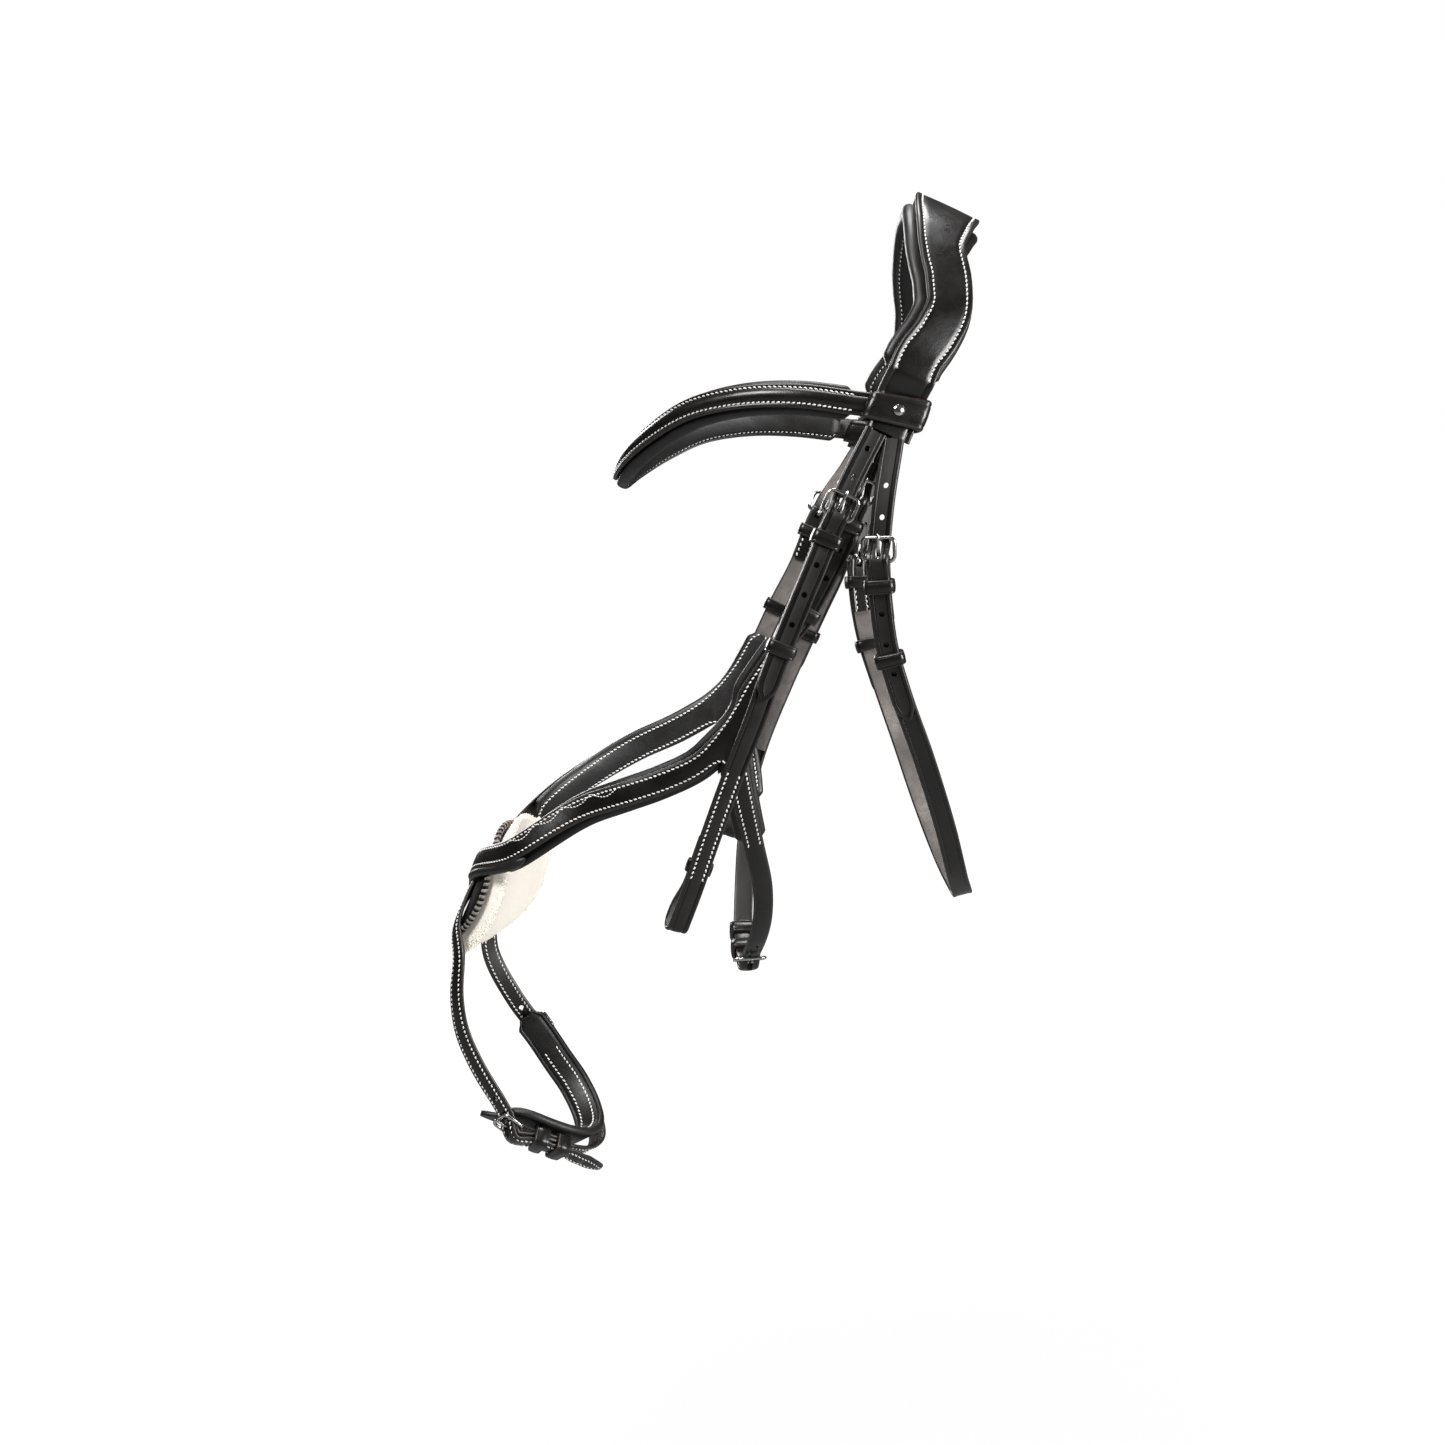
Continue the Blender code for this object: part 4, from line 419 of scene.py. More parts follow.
def pad_outline(half, thick):
    """Section of a stuffed pad: rolled sides, a sewn channel inside each and a soft middle."""
    shares = [(0.0, 0.5), (0.45, 0.5), (0.80, 0.5), (0.90, 0.44), (0.97, 0.28), (1.0, 0.04), (0.985, -0.18),
              (0.93, -0.38), (0.85, -0.48), (0.77, -0.45), (0.71, -0.30), (0.65, -0.44), (0.5, -0.52),
              (0.25, -0.55), (0.0, -0.56)]
    line = [(a * half, b * thick) for a, b in shares]
    return line + [(-a, b) for a, b in reversed(line[1:-1])]


SEWN_SHARES = (0, 1, 2, 10, 18, 26, 27)


def skin(rings, finishes=None, closed=False):
    """Points, faces and face finishes of a skin over rings of points."""
    count = len(rings[0])
    points = [point for ring in rings for point in ring]
    finishes = finishes or [FACE] * count
    faces, marks = [], []
    for i in range(len(rings) if closed else len(rings) - 1):
        a, b = i * count, (i + 1) % len(rings) * count
        for j in range(count):
            k = (j + 1) % count
            faces.append((a + j, a + k, b + k, b + j))
            marks.append(finishes[j])
    if not closed:
        faces += [tuple(range(count)), tuple(range(len(points) - count, len(points)))]
        marks += [EDGE, EDGE] if EDGE in finishes else [FACE, FACE]
    return points, faces, marks


def joined(*shapes):
    """Several shapes as one."""
    points, faces, marks = [], [], []
    for more_points, more_faces, more_marks in shapes:
        start = len(points)
        points += more_points
        faces += [tuple(start + i for i in face) for face in more_faces]
        marks += more_marks
    return points, faces, marks


def built(name, shape, finishes):
    """A mesh object from points, faces and face finishes."""
    points, faces, marks = shape
    mesh = bpy.data.meshes.new(name)
    mesh.from_pydata(points, [], faces)
    for finish in finishes:
        mesh.materials.append(bpy.data.materials[finish])
    mesh.polygons.foreach_set("material_index", [min(m, len(finishes) - 1) for m in marks])
    work = bmesh.new()
    work.from_mesh(mesh)
    bmesh.ops.recalc_face_normals(work, faces=work.faces)
    work.to_mesh(mesh)
    work.free()
    mesh.shade_smooth()
    mesh.set_sharp_from_angle(angle=math.radians(SHARP_ANGLE))
    obj = bpy.data.objects.new(name, mesh)
    bpy.context.collection.objects.link(obj)
    return obj


def settled(obj):
    """Make the object's modifiers part of its mesh."""
    graph = bpy.context.evaluated_depsgraph_get()
    mesh = bpy.data.meshes.new_from_object(obj.evaluated_get(graph), depsgraph=graph)
    obj.modifiers.clear()
    obj.data = mesh


def punched(obj, shapes):
    """Cut closed shapes out of a piece."""
    cutter = built(obj.name + "_cutter", joined(*shapes), ["Bridle edge and painted highlight"])
    boolean = obj.modifiers.new("holes", "BOOLEAN")
    boolean.operation, boolean.solver, boolean.object = "DIFFERENCE", "EXACT", cutter
    settled(obj)
    bpy.data.objects.remove(cutter)
    obj.data.set_sharp_from_angle(angle=math.radians(SHARP_ANGLE))
    return obj


def sewn(obj, shape):
    """Join the thread of its stitches to a piece."""
    if not shape[0]:
        return
    if "Bridle thread" not in obj.data.materials:
        obj.data.materials.append(bpy.data.materials["Bridle thread"])
    number = obj.data.materials.find("Bridle thread")
    points, faces, marks = shape
    mesh = bpy.data.meshes.new("thread")
    mesh.from_pydata(points, [], faces)
    mesh.polygons.foreach_set("material_index", [number] * len(faces))
    mesh.shade_smooth()
    work = bmesh.new()
    work.from_mesh(obj.data)
    work.from_mesh(mesh)
    work.to_mesh(obj.data)
    work.free()
    bpy.data.meshes.remove(mesh)


def place(obj, body, *nodes, slot="leather"):
    """Put a finished piece on its body, in the place of its solids."""
    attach(obj, body)
    if nodes:
        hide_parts(*nodes)


def strap_piece(name, band, finishes, outline):
    """A strap with its section's outline and finishes."""
    return built(name, skin(band.rings(outline), finishes), LEATHER)


def billet_piece(name, band, cutters, start, end):
    """A punched billet, built in the place of its solid."""
    strap = strap_piece(name, band, CHANNEL_FINISHES, leather_outline(BILLET_SINK, bead=BILLET_BEAD))
    piece = punched(strap, cutters)
    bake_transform(piece)
    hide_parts(name)


def place_keeper(name, shape, body):
    """A leather keeper, in the place of its solid."""
    place(built(name, shape, LEATHER), body, name, slot="keeper_leather")


def place_steel(name, shape, body, *nodes):
    """A piece of steel on its body."""
    place(built(name, shape, ["Bridle steel"]), body, *nodes, slot="steel")


def circle(centre, across, up, size, count):
    """A ring of points."""
    return [centre + (across * math.cos(a) + up * math.sin(a)) * size
            for a in (2 * math.pi * j / count for j in range(count))]


def resampled(path, pitch):
    """Points a pitch apart on a path of points and upward sides, each with its direction."""
    lengths = [0.0]
    for a, b in zip(path, path[1:]):
        lengths.append(lengths[-1] + (b[0] - a[0]).length)
    count = max(1, int(lengths[-1] / pitch))
    result = []
    for number in range(count):
        d = (number + 0.5) * lengths[-1] / count
        i = max(0, min(len(path) - 2, bisect.bisect_left(lengths, d) - 1))
        share = (d - lengths[i]) / max(1e-9, lengths[i + 1] - lengths[i])
        line = (path[i + 1][0] - path[i][0]).normalized()
        up = path[i][1].lerp(path[i + 1][1], share)
        result.append((path[i][0].lerp(path[i + 1][0], share), line, (up - line * up.dot(line)).normalized()))
    return result


def stitches(path, look, turn=1.0, pitch=None, share=1.0):
    """Slanted stitches along a seam, each a short length of thread that dips in at its ends."""
    pitch, length, thread = pitch or look.pitch, look.length * share, look.thread * share
    shapes = []
    if len(path) < 2:
        return [], [], []
    for spot, line, up in resampled(path, pitch):
        across = line.cross(up)
        ahead = line * math.cos(look.slant) + across * math.sin(look.slant) * turn
        side = ahead.cross(up)
        shapes.append(skin([circle(spot + ahead * length * reach + up * thread * dip, side, up,
                                   thread * size / 2, 6) for reach, size, dip in STITCH_PROFILE]))
    return joined(*shapes)


def knot(spot, up, look):
    """The round knot that ends a seam."""
    side = up.orthogonal().normalized()
    size, low = look.thread * KNOT_SIZE, look.thread * KNOT_LIFT
    return skin([circle(spot + up * (low + size * math.cos(a)), side, up.cross(side), size * math.sin(a), 10)
                 for a in KNOT_TURNS])


def under_rows(band, look, start=0.0):
    """Stitches along both edges of the underside of a strap."""
    rows = [(band.row(look.inset, lambda thick: -thick / 2, side, start), side) for side in (-1.0, 1.0)]
    return [stitches([(spot, -up) for spot, up in row], look, side) for row, side in rows]


def stretch_rows(band, look, inset=None, lift=lambda thick: thick / 2, **ends):
    """Stitches along both edges of a stretch of strap."""
    inset = inset or look.inset
    return joined(*(stitches(band.row(inset, lift, side, **ends), look, side) for side in (-1.0, 1.0)))


def strap_stretch(route, start, end, height, width=STRAP_WIDTH, thick=CHAPE_THICKNESS):
    """A plain stretch of strap."""
    return Band(route, run(route, [(start, height, width, thick), (end, height, width, thick)]))


def loop_shape(route, s, length, half, low, high, wall, turns=KEEPER_TURNS, lean=0.0):
    """A leather band round what lies between two heights, square to the route or leaning.

    It is crowned along its length, with a crease inside each edge.
    """
    def outline(grow, w, top, bottom):
        inner = wall * LOOP_CORNER
        corner = inner + grow
        points = []
        for cx, cy, first in ((w - inner, top - inner, 0), (inner - w, top - inner, 90),
                              (inner - w, bottom + inner, 180), (w - inner, bottom + inner, 270)):
            for i in range(turns):
                angle = math.radians(first + 90 * i / (turns - 1))
                points.append((cx + corner * math.cos(angle), cy + corner * math.sin(angle)))
        return points
    shares = [(-0.5, 0.45), (-0.47, 0.8), (-0.40, 0.98), (-0.33, 0.86), (-0.28, 1.0), (0.0, 1.06),
              (0.28, 1.0), (0.33, 0.86), (0.40, 0.98), (0.47, 0.8), (0.5, 0.45)]
    outer, inner = [], []
    for share, size in shares:
        point, along, across, out = route.frame(s + share * length)
        slide = across + along * lean
        outer.append([point + slide * w + out * n for w, n in outline(wall * size, half, high, low)])
        inner.append([point + slide * w + out * n for w, n in outline(0.0, half, high, low)])
    rings = outer + list(reversed(inner))
    points, faces, marks = skin(rings, closed=True)
    count = len(rings[0])
    edges = {0, 1, len(shares) - 3, len(shares) - 2, len(shares) - 1, 2 * len(shares) - 1}
    marks = [EDGE if i // count in edges else FLESH if i // count >= len(shares) else FACE
             for i in range(len(faces))]
    return points, faces, marks


class Fastening:
    """A buckle on a route. The billet comes over the bar in the direction of way."""

    def __init__(self, route, bar, way, base=0.0):
        self.route, self.bar, self.way, self.base = route, bar, way, base
        self.bar_height = base + CHAPE_THICKNESS + BAR_ROOM + WIRE / 2
        self.fold_radius = WIRE / 2 + BAR_ROOM + CHAPE_THICKNESS / 2
        self.inner = base + CHAPE_THICKNESS / 2
        self.outer = self.inner + CHAPE_THICKNESS + CLEARANCE
        self.over_bar = self.bar_height + self.fold_radius + (CHAPE_THICKNESS + STRAP_THICKNESS) / 2 + EASE
        self.on_stack = self.outer + (CHAPE_THICKNESS + STRAP_THICKNESS) / 2 + EASE
        self.under_top = base + STRAP_THICKNESS / 2
        self.top_height = self.under_top + STRAP_THICKNESS / 2 + TOP_ROOM + WIRE / 2
        self.top = self.on_stack + STRAP_THICKNESS / 2
        self.eye = WIRE / 2 + CLEARANCE + PRONG_THICKNESS

    def at(self, q):
        """Distance on the route of a place q beyond the bar."""
        return self.bar + self.way * q

    def pivot(self):
        """Middle of the bar, and the direction of the bar."""
        point, along, across, out = self.route.frame(self.bar)
        return point + out * self.bar_height, across

    def leg(self, height):
        """From the bar to a height at the frame's other end, square to the bar."""
        middle, bar = self.pivot()
        point, along, across, out = self.route.frame(self.at(-BUCKLE_LENGTH))
        reach = point + out * height - middle
        return reach - bar * reach.dot(bar)

    def billet(self, before, tip, lift=0.0, tip_width=TIP_WIDTH):
        """Stations of the billet from the keys before the buckle, over the bar and down to its tip."""
        heights = [(-BUCKLE_LENGTH - WIRE / 2, self.under_top), (-BUCKLE_LENGTH + WIRE / 2, self.under_top),
                   (0.0, self.over_bar), (CHAPE_DROP, self.on_stack)]
        if lift:
            heights.append((tip - 2 * TIP_LENGTH, self.on_stack))
        heights.append((tip - TIP_LENGTH, self.on_stack + lift * LIFT_SHARE))
        keys = [(self.at(q), n, STRAP_WIDTH, STRAP_THICKNESS) for q, n in heights]
        return pointed(run(self.route, before + keys), self.way, lift * (1.0 - LIFT_SHARE), tip_width)

    def chape(self):
        """Stations of the folded strap, from the end of its inner layer round the bar and down."""
        skived = (self.inner - CHAPE_THICKNESS / 4, STRAP_WIDTH, CHAPE_THICKNESS / 2)
        inner = run(self.route, [(self.at(CHAPE_LENGTH), *skived),
                                 (self.at(CHAPE_LENGTH - SKIVE), self.inner, *CHAPE_SIZE),
                                 (self.at(CHAPE_DROP / 2), self.inner, *CHAPE_SIZE)])
        fold = [(self.bar - self.way * self.fold_radius * math.sin(a),
                 self.bar_height - self.fold_radius * math.cos(a), *CHAPE_SIZE)
                for a in (math.pi * i / TURN_STEPS for i in range(TURN_STEPS + 1))]
        outer = run(self.route, [(self.at(CHAPE_DROP), self.outer, *CHAPE_SIZE),
                                 (self.at(CHAPE_LENGTH), self.outer, *CHAPE_SIZE)])
        return inner + fold + outer

    def slot(self):
        """Cutter for the prong's slot in the fold."""
        reach = self.eye + PRONG_SLOT_ROOM
        ends = (self.at(-reach - CHAPE_THICKNESS), self.at(reach))
        point, along, across, out = self.route.frame(sum(ends) / 2)
        half, wide = abs(ends[1] - ends[0]) / 2, PRONG_WIDTH / 2 + PRONG_SLOT_ROOM
        corners = [(-half, -wide), (half, -wide), (half, wide), (-half, wide)]
        return skin([[point + along * a + across * w + out * n for a, w in corners]
                     for n in (self.base - CUT_OVERRUN, self.bar_height + self.fold_radius + CHAPE_THICKNESS)])

    def holes(self, before, after):
        """Cutters for the billet's holes, the longest under the prong."""
        shapes = []
        for number in range(-before, after + 1):
            q = -BUCKLE_LENGTH / 2 + number * HOLE_PITCH
            if number:
                s, shift, straight = self.at(q), 0.0, 0.0
            else:
                s, shift, straight = self.bar, self.way * q, (PRONG_HOLE_LENGTH - HOLE_WIDTH) / 2
            point, along, across, out = self.route.frame(s)
            ring = []
            for i in range(HOLE_SIDES):
                angle = 2 * math.pi * (i + 0.5) / HOLE_SIDES
                a, b = HOLE_WIDTH / 2 * math.sin(angle), HOLE_WIDTH / 2 * math.cos(angle)
                ring.append(point + along * (shift + a + math.copysign(straight, a)) + across * b)
            ends = (self.base - CUT_OVERRUN, self.over_bar + STRAP_THICKNESS + CUT_OVERRUN)
            shapes.append(skin([[spot + out * n for spot in ring] for n in ends]))
        return shapes

    def frame_shape(self):
        """The buckle's frame: one wire ring with round corners."""
        middle, across = self.pivot()
        leg = self.leg(self.top_height)
        down = leg.normalized()
        up = across.cross(down).normalized()
        wide, near = STRAP_WIDTH / 2 + BUCKLE_ROOM + WIRE / 2 - BUCKLE_CORNER, BUCKLE_CORNER
        far = leg.length - BUCKLE_CORNER
        rings = []
        for x, y, start in ((wide, near, -90), (wide, far, 0), (-wide, far, 90), (-wide, near, 180)):
            for i in range(CORNER_STEPS):
                angle = math.radians(start + 90 * i / (CORNER_STEPS - 1))
                side = across * math.cos(angle) + down * math.sin(angle)
                centre = middle + across * x + down * y + side * BUCKLE_CORNER
                rings.append(circle(centre, side, up, WIRE / 2, WIRE_SIDES))
        return skin(rings, closed=True)

    def prong_shape(self):
        """The prong: an eye round the bar, and a tapered tongue that rests on the frame's other end."""
        middle, across = self.pivot()
        mid = WIRE / 2 + CLEARANCE + PRONG_THICKNESS / 2
        leg = self.leg(self.top_height + mid)
        ahead = leg.normalized()
        up = across.cross(ahead)
        if up.dot(self.route.frame(self.bar)[3]) < 0:
            up = -up
        wide, thick = across * PRONG_WIDTH / 2, PRONG_THICKNESS / 2
        eye = []
        for i in range(EYE_SIDES):
            angle = 2 * math.pi * i / EYE_SIDES
            away = ahead * math.cos(angle) + up * math.sin(angle)
            eye.append([middle + away * (mid + thick * b) + wide * a for a, b in PRONG_EYE])
        reach = (leg.length + PRONG_OVERHANG - mid) / PRONG_TONGUE[-1][0]
        tongue = [circle(middle + ahead * (mid + reach * along) + up * rise, wide * width, up * thick * height,
                         1.0, TONGUE_SIDES) for along, width, height, rise in PRONG_TONGUE]
        return joined(skin(eye, closed=True), skin(tongue))

    def keeper_shape(self, q):
        """A leather keeper round the folded strap and the billet."""
        low = self.base - KEEPER_ROOM if q < CHAPE_LENGTH else self.outer - CHAPE_THICKNESS / 2 - KEEPER_ROOM
        return loop_shape(self.route, self.at(q), KEEPER_LENGTH, STRAP_WIDTH / 2 + KEEPER_ROOM, low,
                          self.top + KEEPER_ROOM, KEEPER_WALL)

    def chape_seams(self, look, under=False):
        """Stitches through both layers of the chape, past its keeper."""
        first = self.at(KEEPER_SETBACK + KEEPER_LENGTH * SEAM_GAP_SHARE)
        s0, s1 = sorted((first, self.at(CHAPE_LENGTH - CUT_OVERRUN)))
        rows = stretch_rows(strap_stretch(self.route, s0, s1, self.outer), look)
        if not under:
            return rows
        below = strap_stretch(self.route, s0, s1, self.inner)
        return joined(rows, *under_rows(below, look))


# Routes
headstrap_half = places(HEADSTRAP_SHARES)
crown_half = headstrap_half + places(CROWN_END_SHARES)
crown_route = Route(both_sides(crown_half))
brow_route = Route(both_sides(places(BROW_SHARES)))
throat_route = Route(places(THROAT_SHARES, THROAT_MIDDLE_SHARES))
near_hanger, far_hanger = places(NEAR_HANGER_SHARES), places(FAR_HANGER_SHARES)
headstrap_route = Route(list(reversed(near_hanger)) + both_sides(headstrap_half) + far_hanger)
chin_places = places(CHIN_SHARES, CHIN_MIDDLE_SHARES)
near_arm = near_hanger[-1:] + places(NEAR_BRANCH_SHARES) + nose_places(NEAR_ARM_SHARES)
near_arm += places(FAR_LOWER_SHARES)
far_arm = far_hanger[-1:] + places(FAR_BRANCH_SHARES) + nose_places(FAR_ARM_SHARES)
far_arm += places(NEAR_LOWER_SHARES)
chin_route = Route(near_arm[-2:] + chin_places + list(reversed(far_arm[-2:])))
chin_pad_route = Route(near_arm[-2:] + chin_places + places(CHIN_TAB_SHARES, CHIN_MIDDLE_SHARES))
near_arm_route = Route(near_arm + chin_places)
far_arm_route = Route(far_arm + list(reversed(chin_places)))
jaw_route = Route(near_hanger[-1:] + places(JAW_SHARES, JAW_MIDDLE_SHARES) + far_hanger[-1:])
cheek_routes = {"near": Route(places(NEAR_CHEEK_SHARES)), "far": Route(places(FAR_CHEEK_SHARES))}
near_hanger_route = Route(headstrap_half[-1:] + near_hanger)
far_hanger_route = Route(mirrored(headstrap_half[-1:]) + far_hanger)

cheeks = {side: Fastening(route, route.mark(CHEEK_BAR), 1) for side, route in cheek_routes.items()}
throats = {"near": Fastening(throat_route, throat_route.mark(THROAT_BAR), 1),
           "far": Fastening(throat_route, throat_route.mark(len(THROAT_SHARES) - 1 - THROAT_BAR), -1)}
hangs = {"near": Fastening(near_hanger_route, near_hanger_route.mark(HANGER_BAR + 1), 1),
         "far": Fastening(far_hanger_route, far_hanger_route.mark(HANGER_BAR + 1), 1)}
chins = {"near": Fastening(chin_route, chin_route.mark(len(chin_places) + 1), -1),
         "far": Fastening(chin_route, chin_route.mark(2), 1)}
jaw = Fastening(jaw_route, jaw_route.mark(JAW_BAR), 1)
near_head_bar = len(near_hanger) - 1 - HANGER_BAR
far_head_bar = len(near_hanger) + 2 * len(headstrap_half) - 1 + HANGER_BAR
heads = {"near": Fastening(headstrap_route, headstrap_route.mark(near_head_bar), -1),
         "far": Fastening(headstrap_route, headstrap_route.mark(far_head_bar), 1)}

crown_middle = crown_route.mark(len(crown_half) - 1)
strap_low = STRAP_THICKNESS / 2
strap_high = CROWN_PAD_THICKNESS + CROWN_LAYER_GAP + STRAP_THICKNESS / 2
layer = STRAP_THICKNESS + EASE
crown_high = strap_high + STRAP_THICKNESS + CROWN_LAYER_GAP
high_reach, low_reach = CROWN_PAD_REACH + CROWN_RAMP_START, CROWN_PAD_REACH + CROWN_RAMP
plate = hangs["near"].outer
nose_pad_height = plate - STRAP_THICKNESS / 2 - NOSE_PAD_GAP - NOSE_PAD_THICKNESS / 2
loop_middle = LOOP_SETBACK + LOOP_LENGTH / 2 + LOOP_SHIFT
loop_seat = strap_low + layer + STRAP_THICKNESS / 2 + EASE + LOOP_RISE
LEATHER = ["Bridle leather", "Bridle edge and painted highlight", "Bridle flesh side", "Bridle channel", "Bridle thread"]


def stuffed(obj, held):
    """Swell a pad as cloth under pressure, held where it is sewn. No point moves further than the cap."""
    mesh = obj.data
    before = np.empty(len(mesh.vertices) * 3)
    mesh.vertices.foreach_get("co", before)
    before = before.reshape(-1, 3)
    obj.vertex_groups.new(name="held").add(held, 1.0, "REPLACE")
    cloth = obj.modifiers.new("stuffing", "CLOTH")
    settings = cloth.settings
    settings.quality, settings.mass, settings.vertex_group_mass = CLOTH_QUALITY, CLOTH_MASS, "held"
    settings.tension_stiffness = settings.compression_stiffness = settings.shear_stiffness = CLOTH_STIFFNESS
    settings.bending_stiffness = CLOTH_BENDING
    settings.use_pressure, settings.uniform_pressure_force = True, CLOTH_PRESSURE
    settings.effector_weights.gravity = 0.0
    for number in range(1, CLOTH_FRAMES + 1):
        bpy.context.scene.frame_set(number)
    graph = bpy.context.evaluated_depsgraph_get()
    swollen = obj.evaluated_get(graph).to_mesh()
    after = np.empty(len(mesh.vertices) * 3)
    swollen.vertices.foreach_get("co", after)
    obj.evaluated_get(graph).to_mesh_clear()
    obj.modifiers.clear()
    obj.vertex_groups.clear()
    bpy.context.scene.frame_set(1)
    move = after.reshape(-1, 3) - before
    length = np.linalg.norm(move, axis=1, keepdims=True)
    move *= np.minimum(1.0, CLOTH_CAP / np.maximum(length, 1e-9))
    mesh.vertices.foreach_set("co", (before + move).ravel())
    mesh.update()


def pad_piece(name, band, look, seam=PAD_SEAM, seam_start=0.0):
    """A stuffed pad along a route, with its two seams."""
    obj = built(name, skin(band.rings(pad_outline)), ["Bridle soft leather"])
    count, last = len(pad_outline(1.0, 1.0)), len(band.frames) - 1
    held = [i * count + j for i in range(last + 1) for j in SEWN_SHARES]
    held += list(range(count)) + list(range(last * count, (last + 1) * count))
    stuffed(obj, held)
    share, deep = seam
    rows = []
    for side in (-1.0, 1.0):
        row = [(m + c * side * half * share - u * deep * thick, -u)
               for (m, l, c, u, half, thick), d in zip(band.frames, band.reach) if d > seam_start]
        rows.append(stitches(row[2:-2], look, side))
    sewn(obj, joined(*rows))
    place(obj, "bridle", name, slot="padding")


def sewn_band(width, thickness, route, start, end, height):
    """Frames of a pad that is drawn in at both ends."""
    small = (height, width * PAD_END_SHARE, thickness * PAD_END_SHARE)
    full = (height, width, thickness)
    keys = [(start, *small), (start + PAD_ROUND, *full), (end - PAD_ROUND, *full), (end, *small)]
    return Band(route, run(route, keys))


def y_skin(arms, junction, out, height, half, thickness, profile, finishes):
    """Skin of a three-armed plate, and the spots of its corners.

    Each arm is its rings from the tip in, and the names of the corners at its left and right.
    """
    point = junction + out * height
    inset = (1.0 - profile[2][0]) * half
    levels = {name: profile[i][1] * thickness for name, i in (("top", 2), ("edge", 3), ("low", 4))}
    headings, corners, points, faces, marks, index = {}, {}, [], [], [], {}
    for rings, left, right in arms:
        centre = sum(rings[-1], Vector()) / len(rings[-1])
        headings[left + right] = (centre - point - out * (centre - point).dot(out)).normalized()
    for name in "ABC":
        first, second = [heading for pair, heading in headings.items() if name in pair]
        between, lean = (first + second).normalized(), first.angle(second) / 2
        if lean > math.radians(STRAIGHT_ANGLE):
            other = [heading for pair, heading in headings.items() if name not in pair][0]
            between = -(other - out * other.dot(out)).normalized()
        corners[name] = (between, half / math.sin(lean) + CROTCH_ROUND * math.cos(lean))

    def add(key, spot):
        index[key] = len(points)
        points.append(spot)

    for name, (between, reach) in corners.items():
        for level, shift in (("top", inset), ("edge", 0.0), ("low", inset)):
            add(name + level, point + between * (reach - shift) + out * levels[level])
    add("top", point + out * profile[1][1] * thickness)
    add("low", point + out * profile[5][1] * thickness)
    for rings, left, right in arms:
        pair = left + right
        middle = (points[index[left + "edge"]] + points[index[right + "edge"]]) / 2
        middle = middle - out * (middle - point).dot(out)
        add(pair + "top", middle + out * profile[1][1] * thickness)
        add(pair + "low", middle + out * profile[5][1] * thickness)
        start, count = len(points), len(rings[0])
        for ring in rings:
            points += ring
        for i in range(len(rings) - 1):
            a, b = start + i * count, start + (i + 1) * count
            faces += [(a + j, a + (j + 1) % count, b + (j + 1) % count, b + j) for j in range(count)]
            marks += finishes
        faces.append(tuple(range(start, start + count)))
        marks.append(finishes[2])
        inner = [left + "top", pair + "top", right + "top", right + "edge",
                 right + "low", pair + "low", left + "low", left + "edge"]
        a = start + (len(rings) - 1) * count
        for j in range(count):
            k = (j + 1) % count
            faces.append((a + j, a + k, index[inner[k]], index[inner[j]]))
            marks.append(finishes[j])
        for level, finish in (("top", finishes[0]), ("low", finishes[4])):
            faces.append((index[level], index[left + level], index[pair + level]))
            faces.append((index[level], index[pair + level], index[right + level]))
            marks += [finish, finish]
    spots = {name: point + between * reach for name, (between, reach) in corners.items()}
    return (points, faces, marks), spots


def rounded(obj, levels=2):
    """Smooth a coarse plate or pad with a subdivision surface."""
    smooth = obj.modifiers.new("smooth", "SUBSURF")
    smooth.levels = smooth.render_levels = levels
    settled(obj)
    obj.data.shade_smooth()
    return obj


def plate_rings(band, profile):
    """Rings of the eight-cornered section that a three-armed plate takes."""
    return band.rings(lambda half, thick: [(a * half, b * thick) for a, b in profile])


def bent(radius, height, angle):
    """A point on the bent nose disc."""
    bend = radius * math.sin(angle) / NOSE_RADIUS
    away = NOSE_FRONT * math.cos(bend) + NOSE_SIDE * math.sin(bend)
    return NOSE_AXIS + NOSE_DOWN * radius * math.cos(angle) + away * (NOSE_RADIUS + height), away


def outward_at(radius, height, angle, step):
    """Direction away from the middle of the bent nose disc."""
    return (bent(radius + step, height, angle)[0] - bent(radius, height, angle)[0]).normalized()


def disc_shape():
    """The bent disc: its face, the groove inside its rounded rim, and its back."""
    radius, thick = DISC_DIAMETER / 2, DISC_THICKNESS
    profile = [(radius * r, thick * DISC_FACE_SHARE) for r in (0.02, 0.2, 0.4, 0.6, 0.8)]
    profile += [(radius - inset, thick * share) for inset, share in DISC_GROOVE]
    profile += [(radius - DISC_RIM + DISC_RIM * math.sin(a), thick / 2 + thick / 2 * math.cos(a))
                for a in (math.pi * i / 8 for i in range(9))]
    profile += [(radius * r, 0.0) for r in (0.85, 0.6, 0.3, 0.02)]
    return skin([[bent(r, h, 2 * math.pi * i / DISC_SIDES)[0] for i in range(DISC_SIDES)] for r, h in profile])


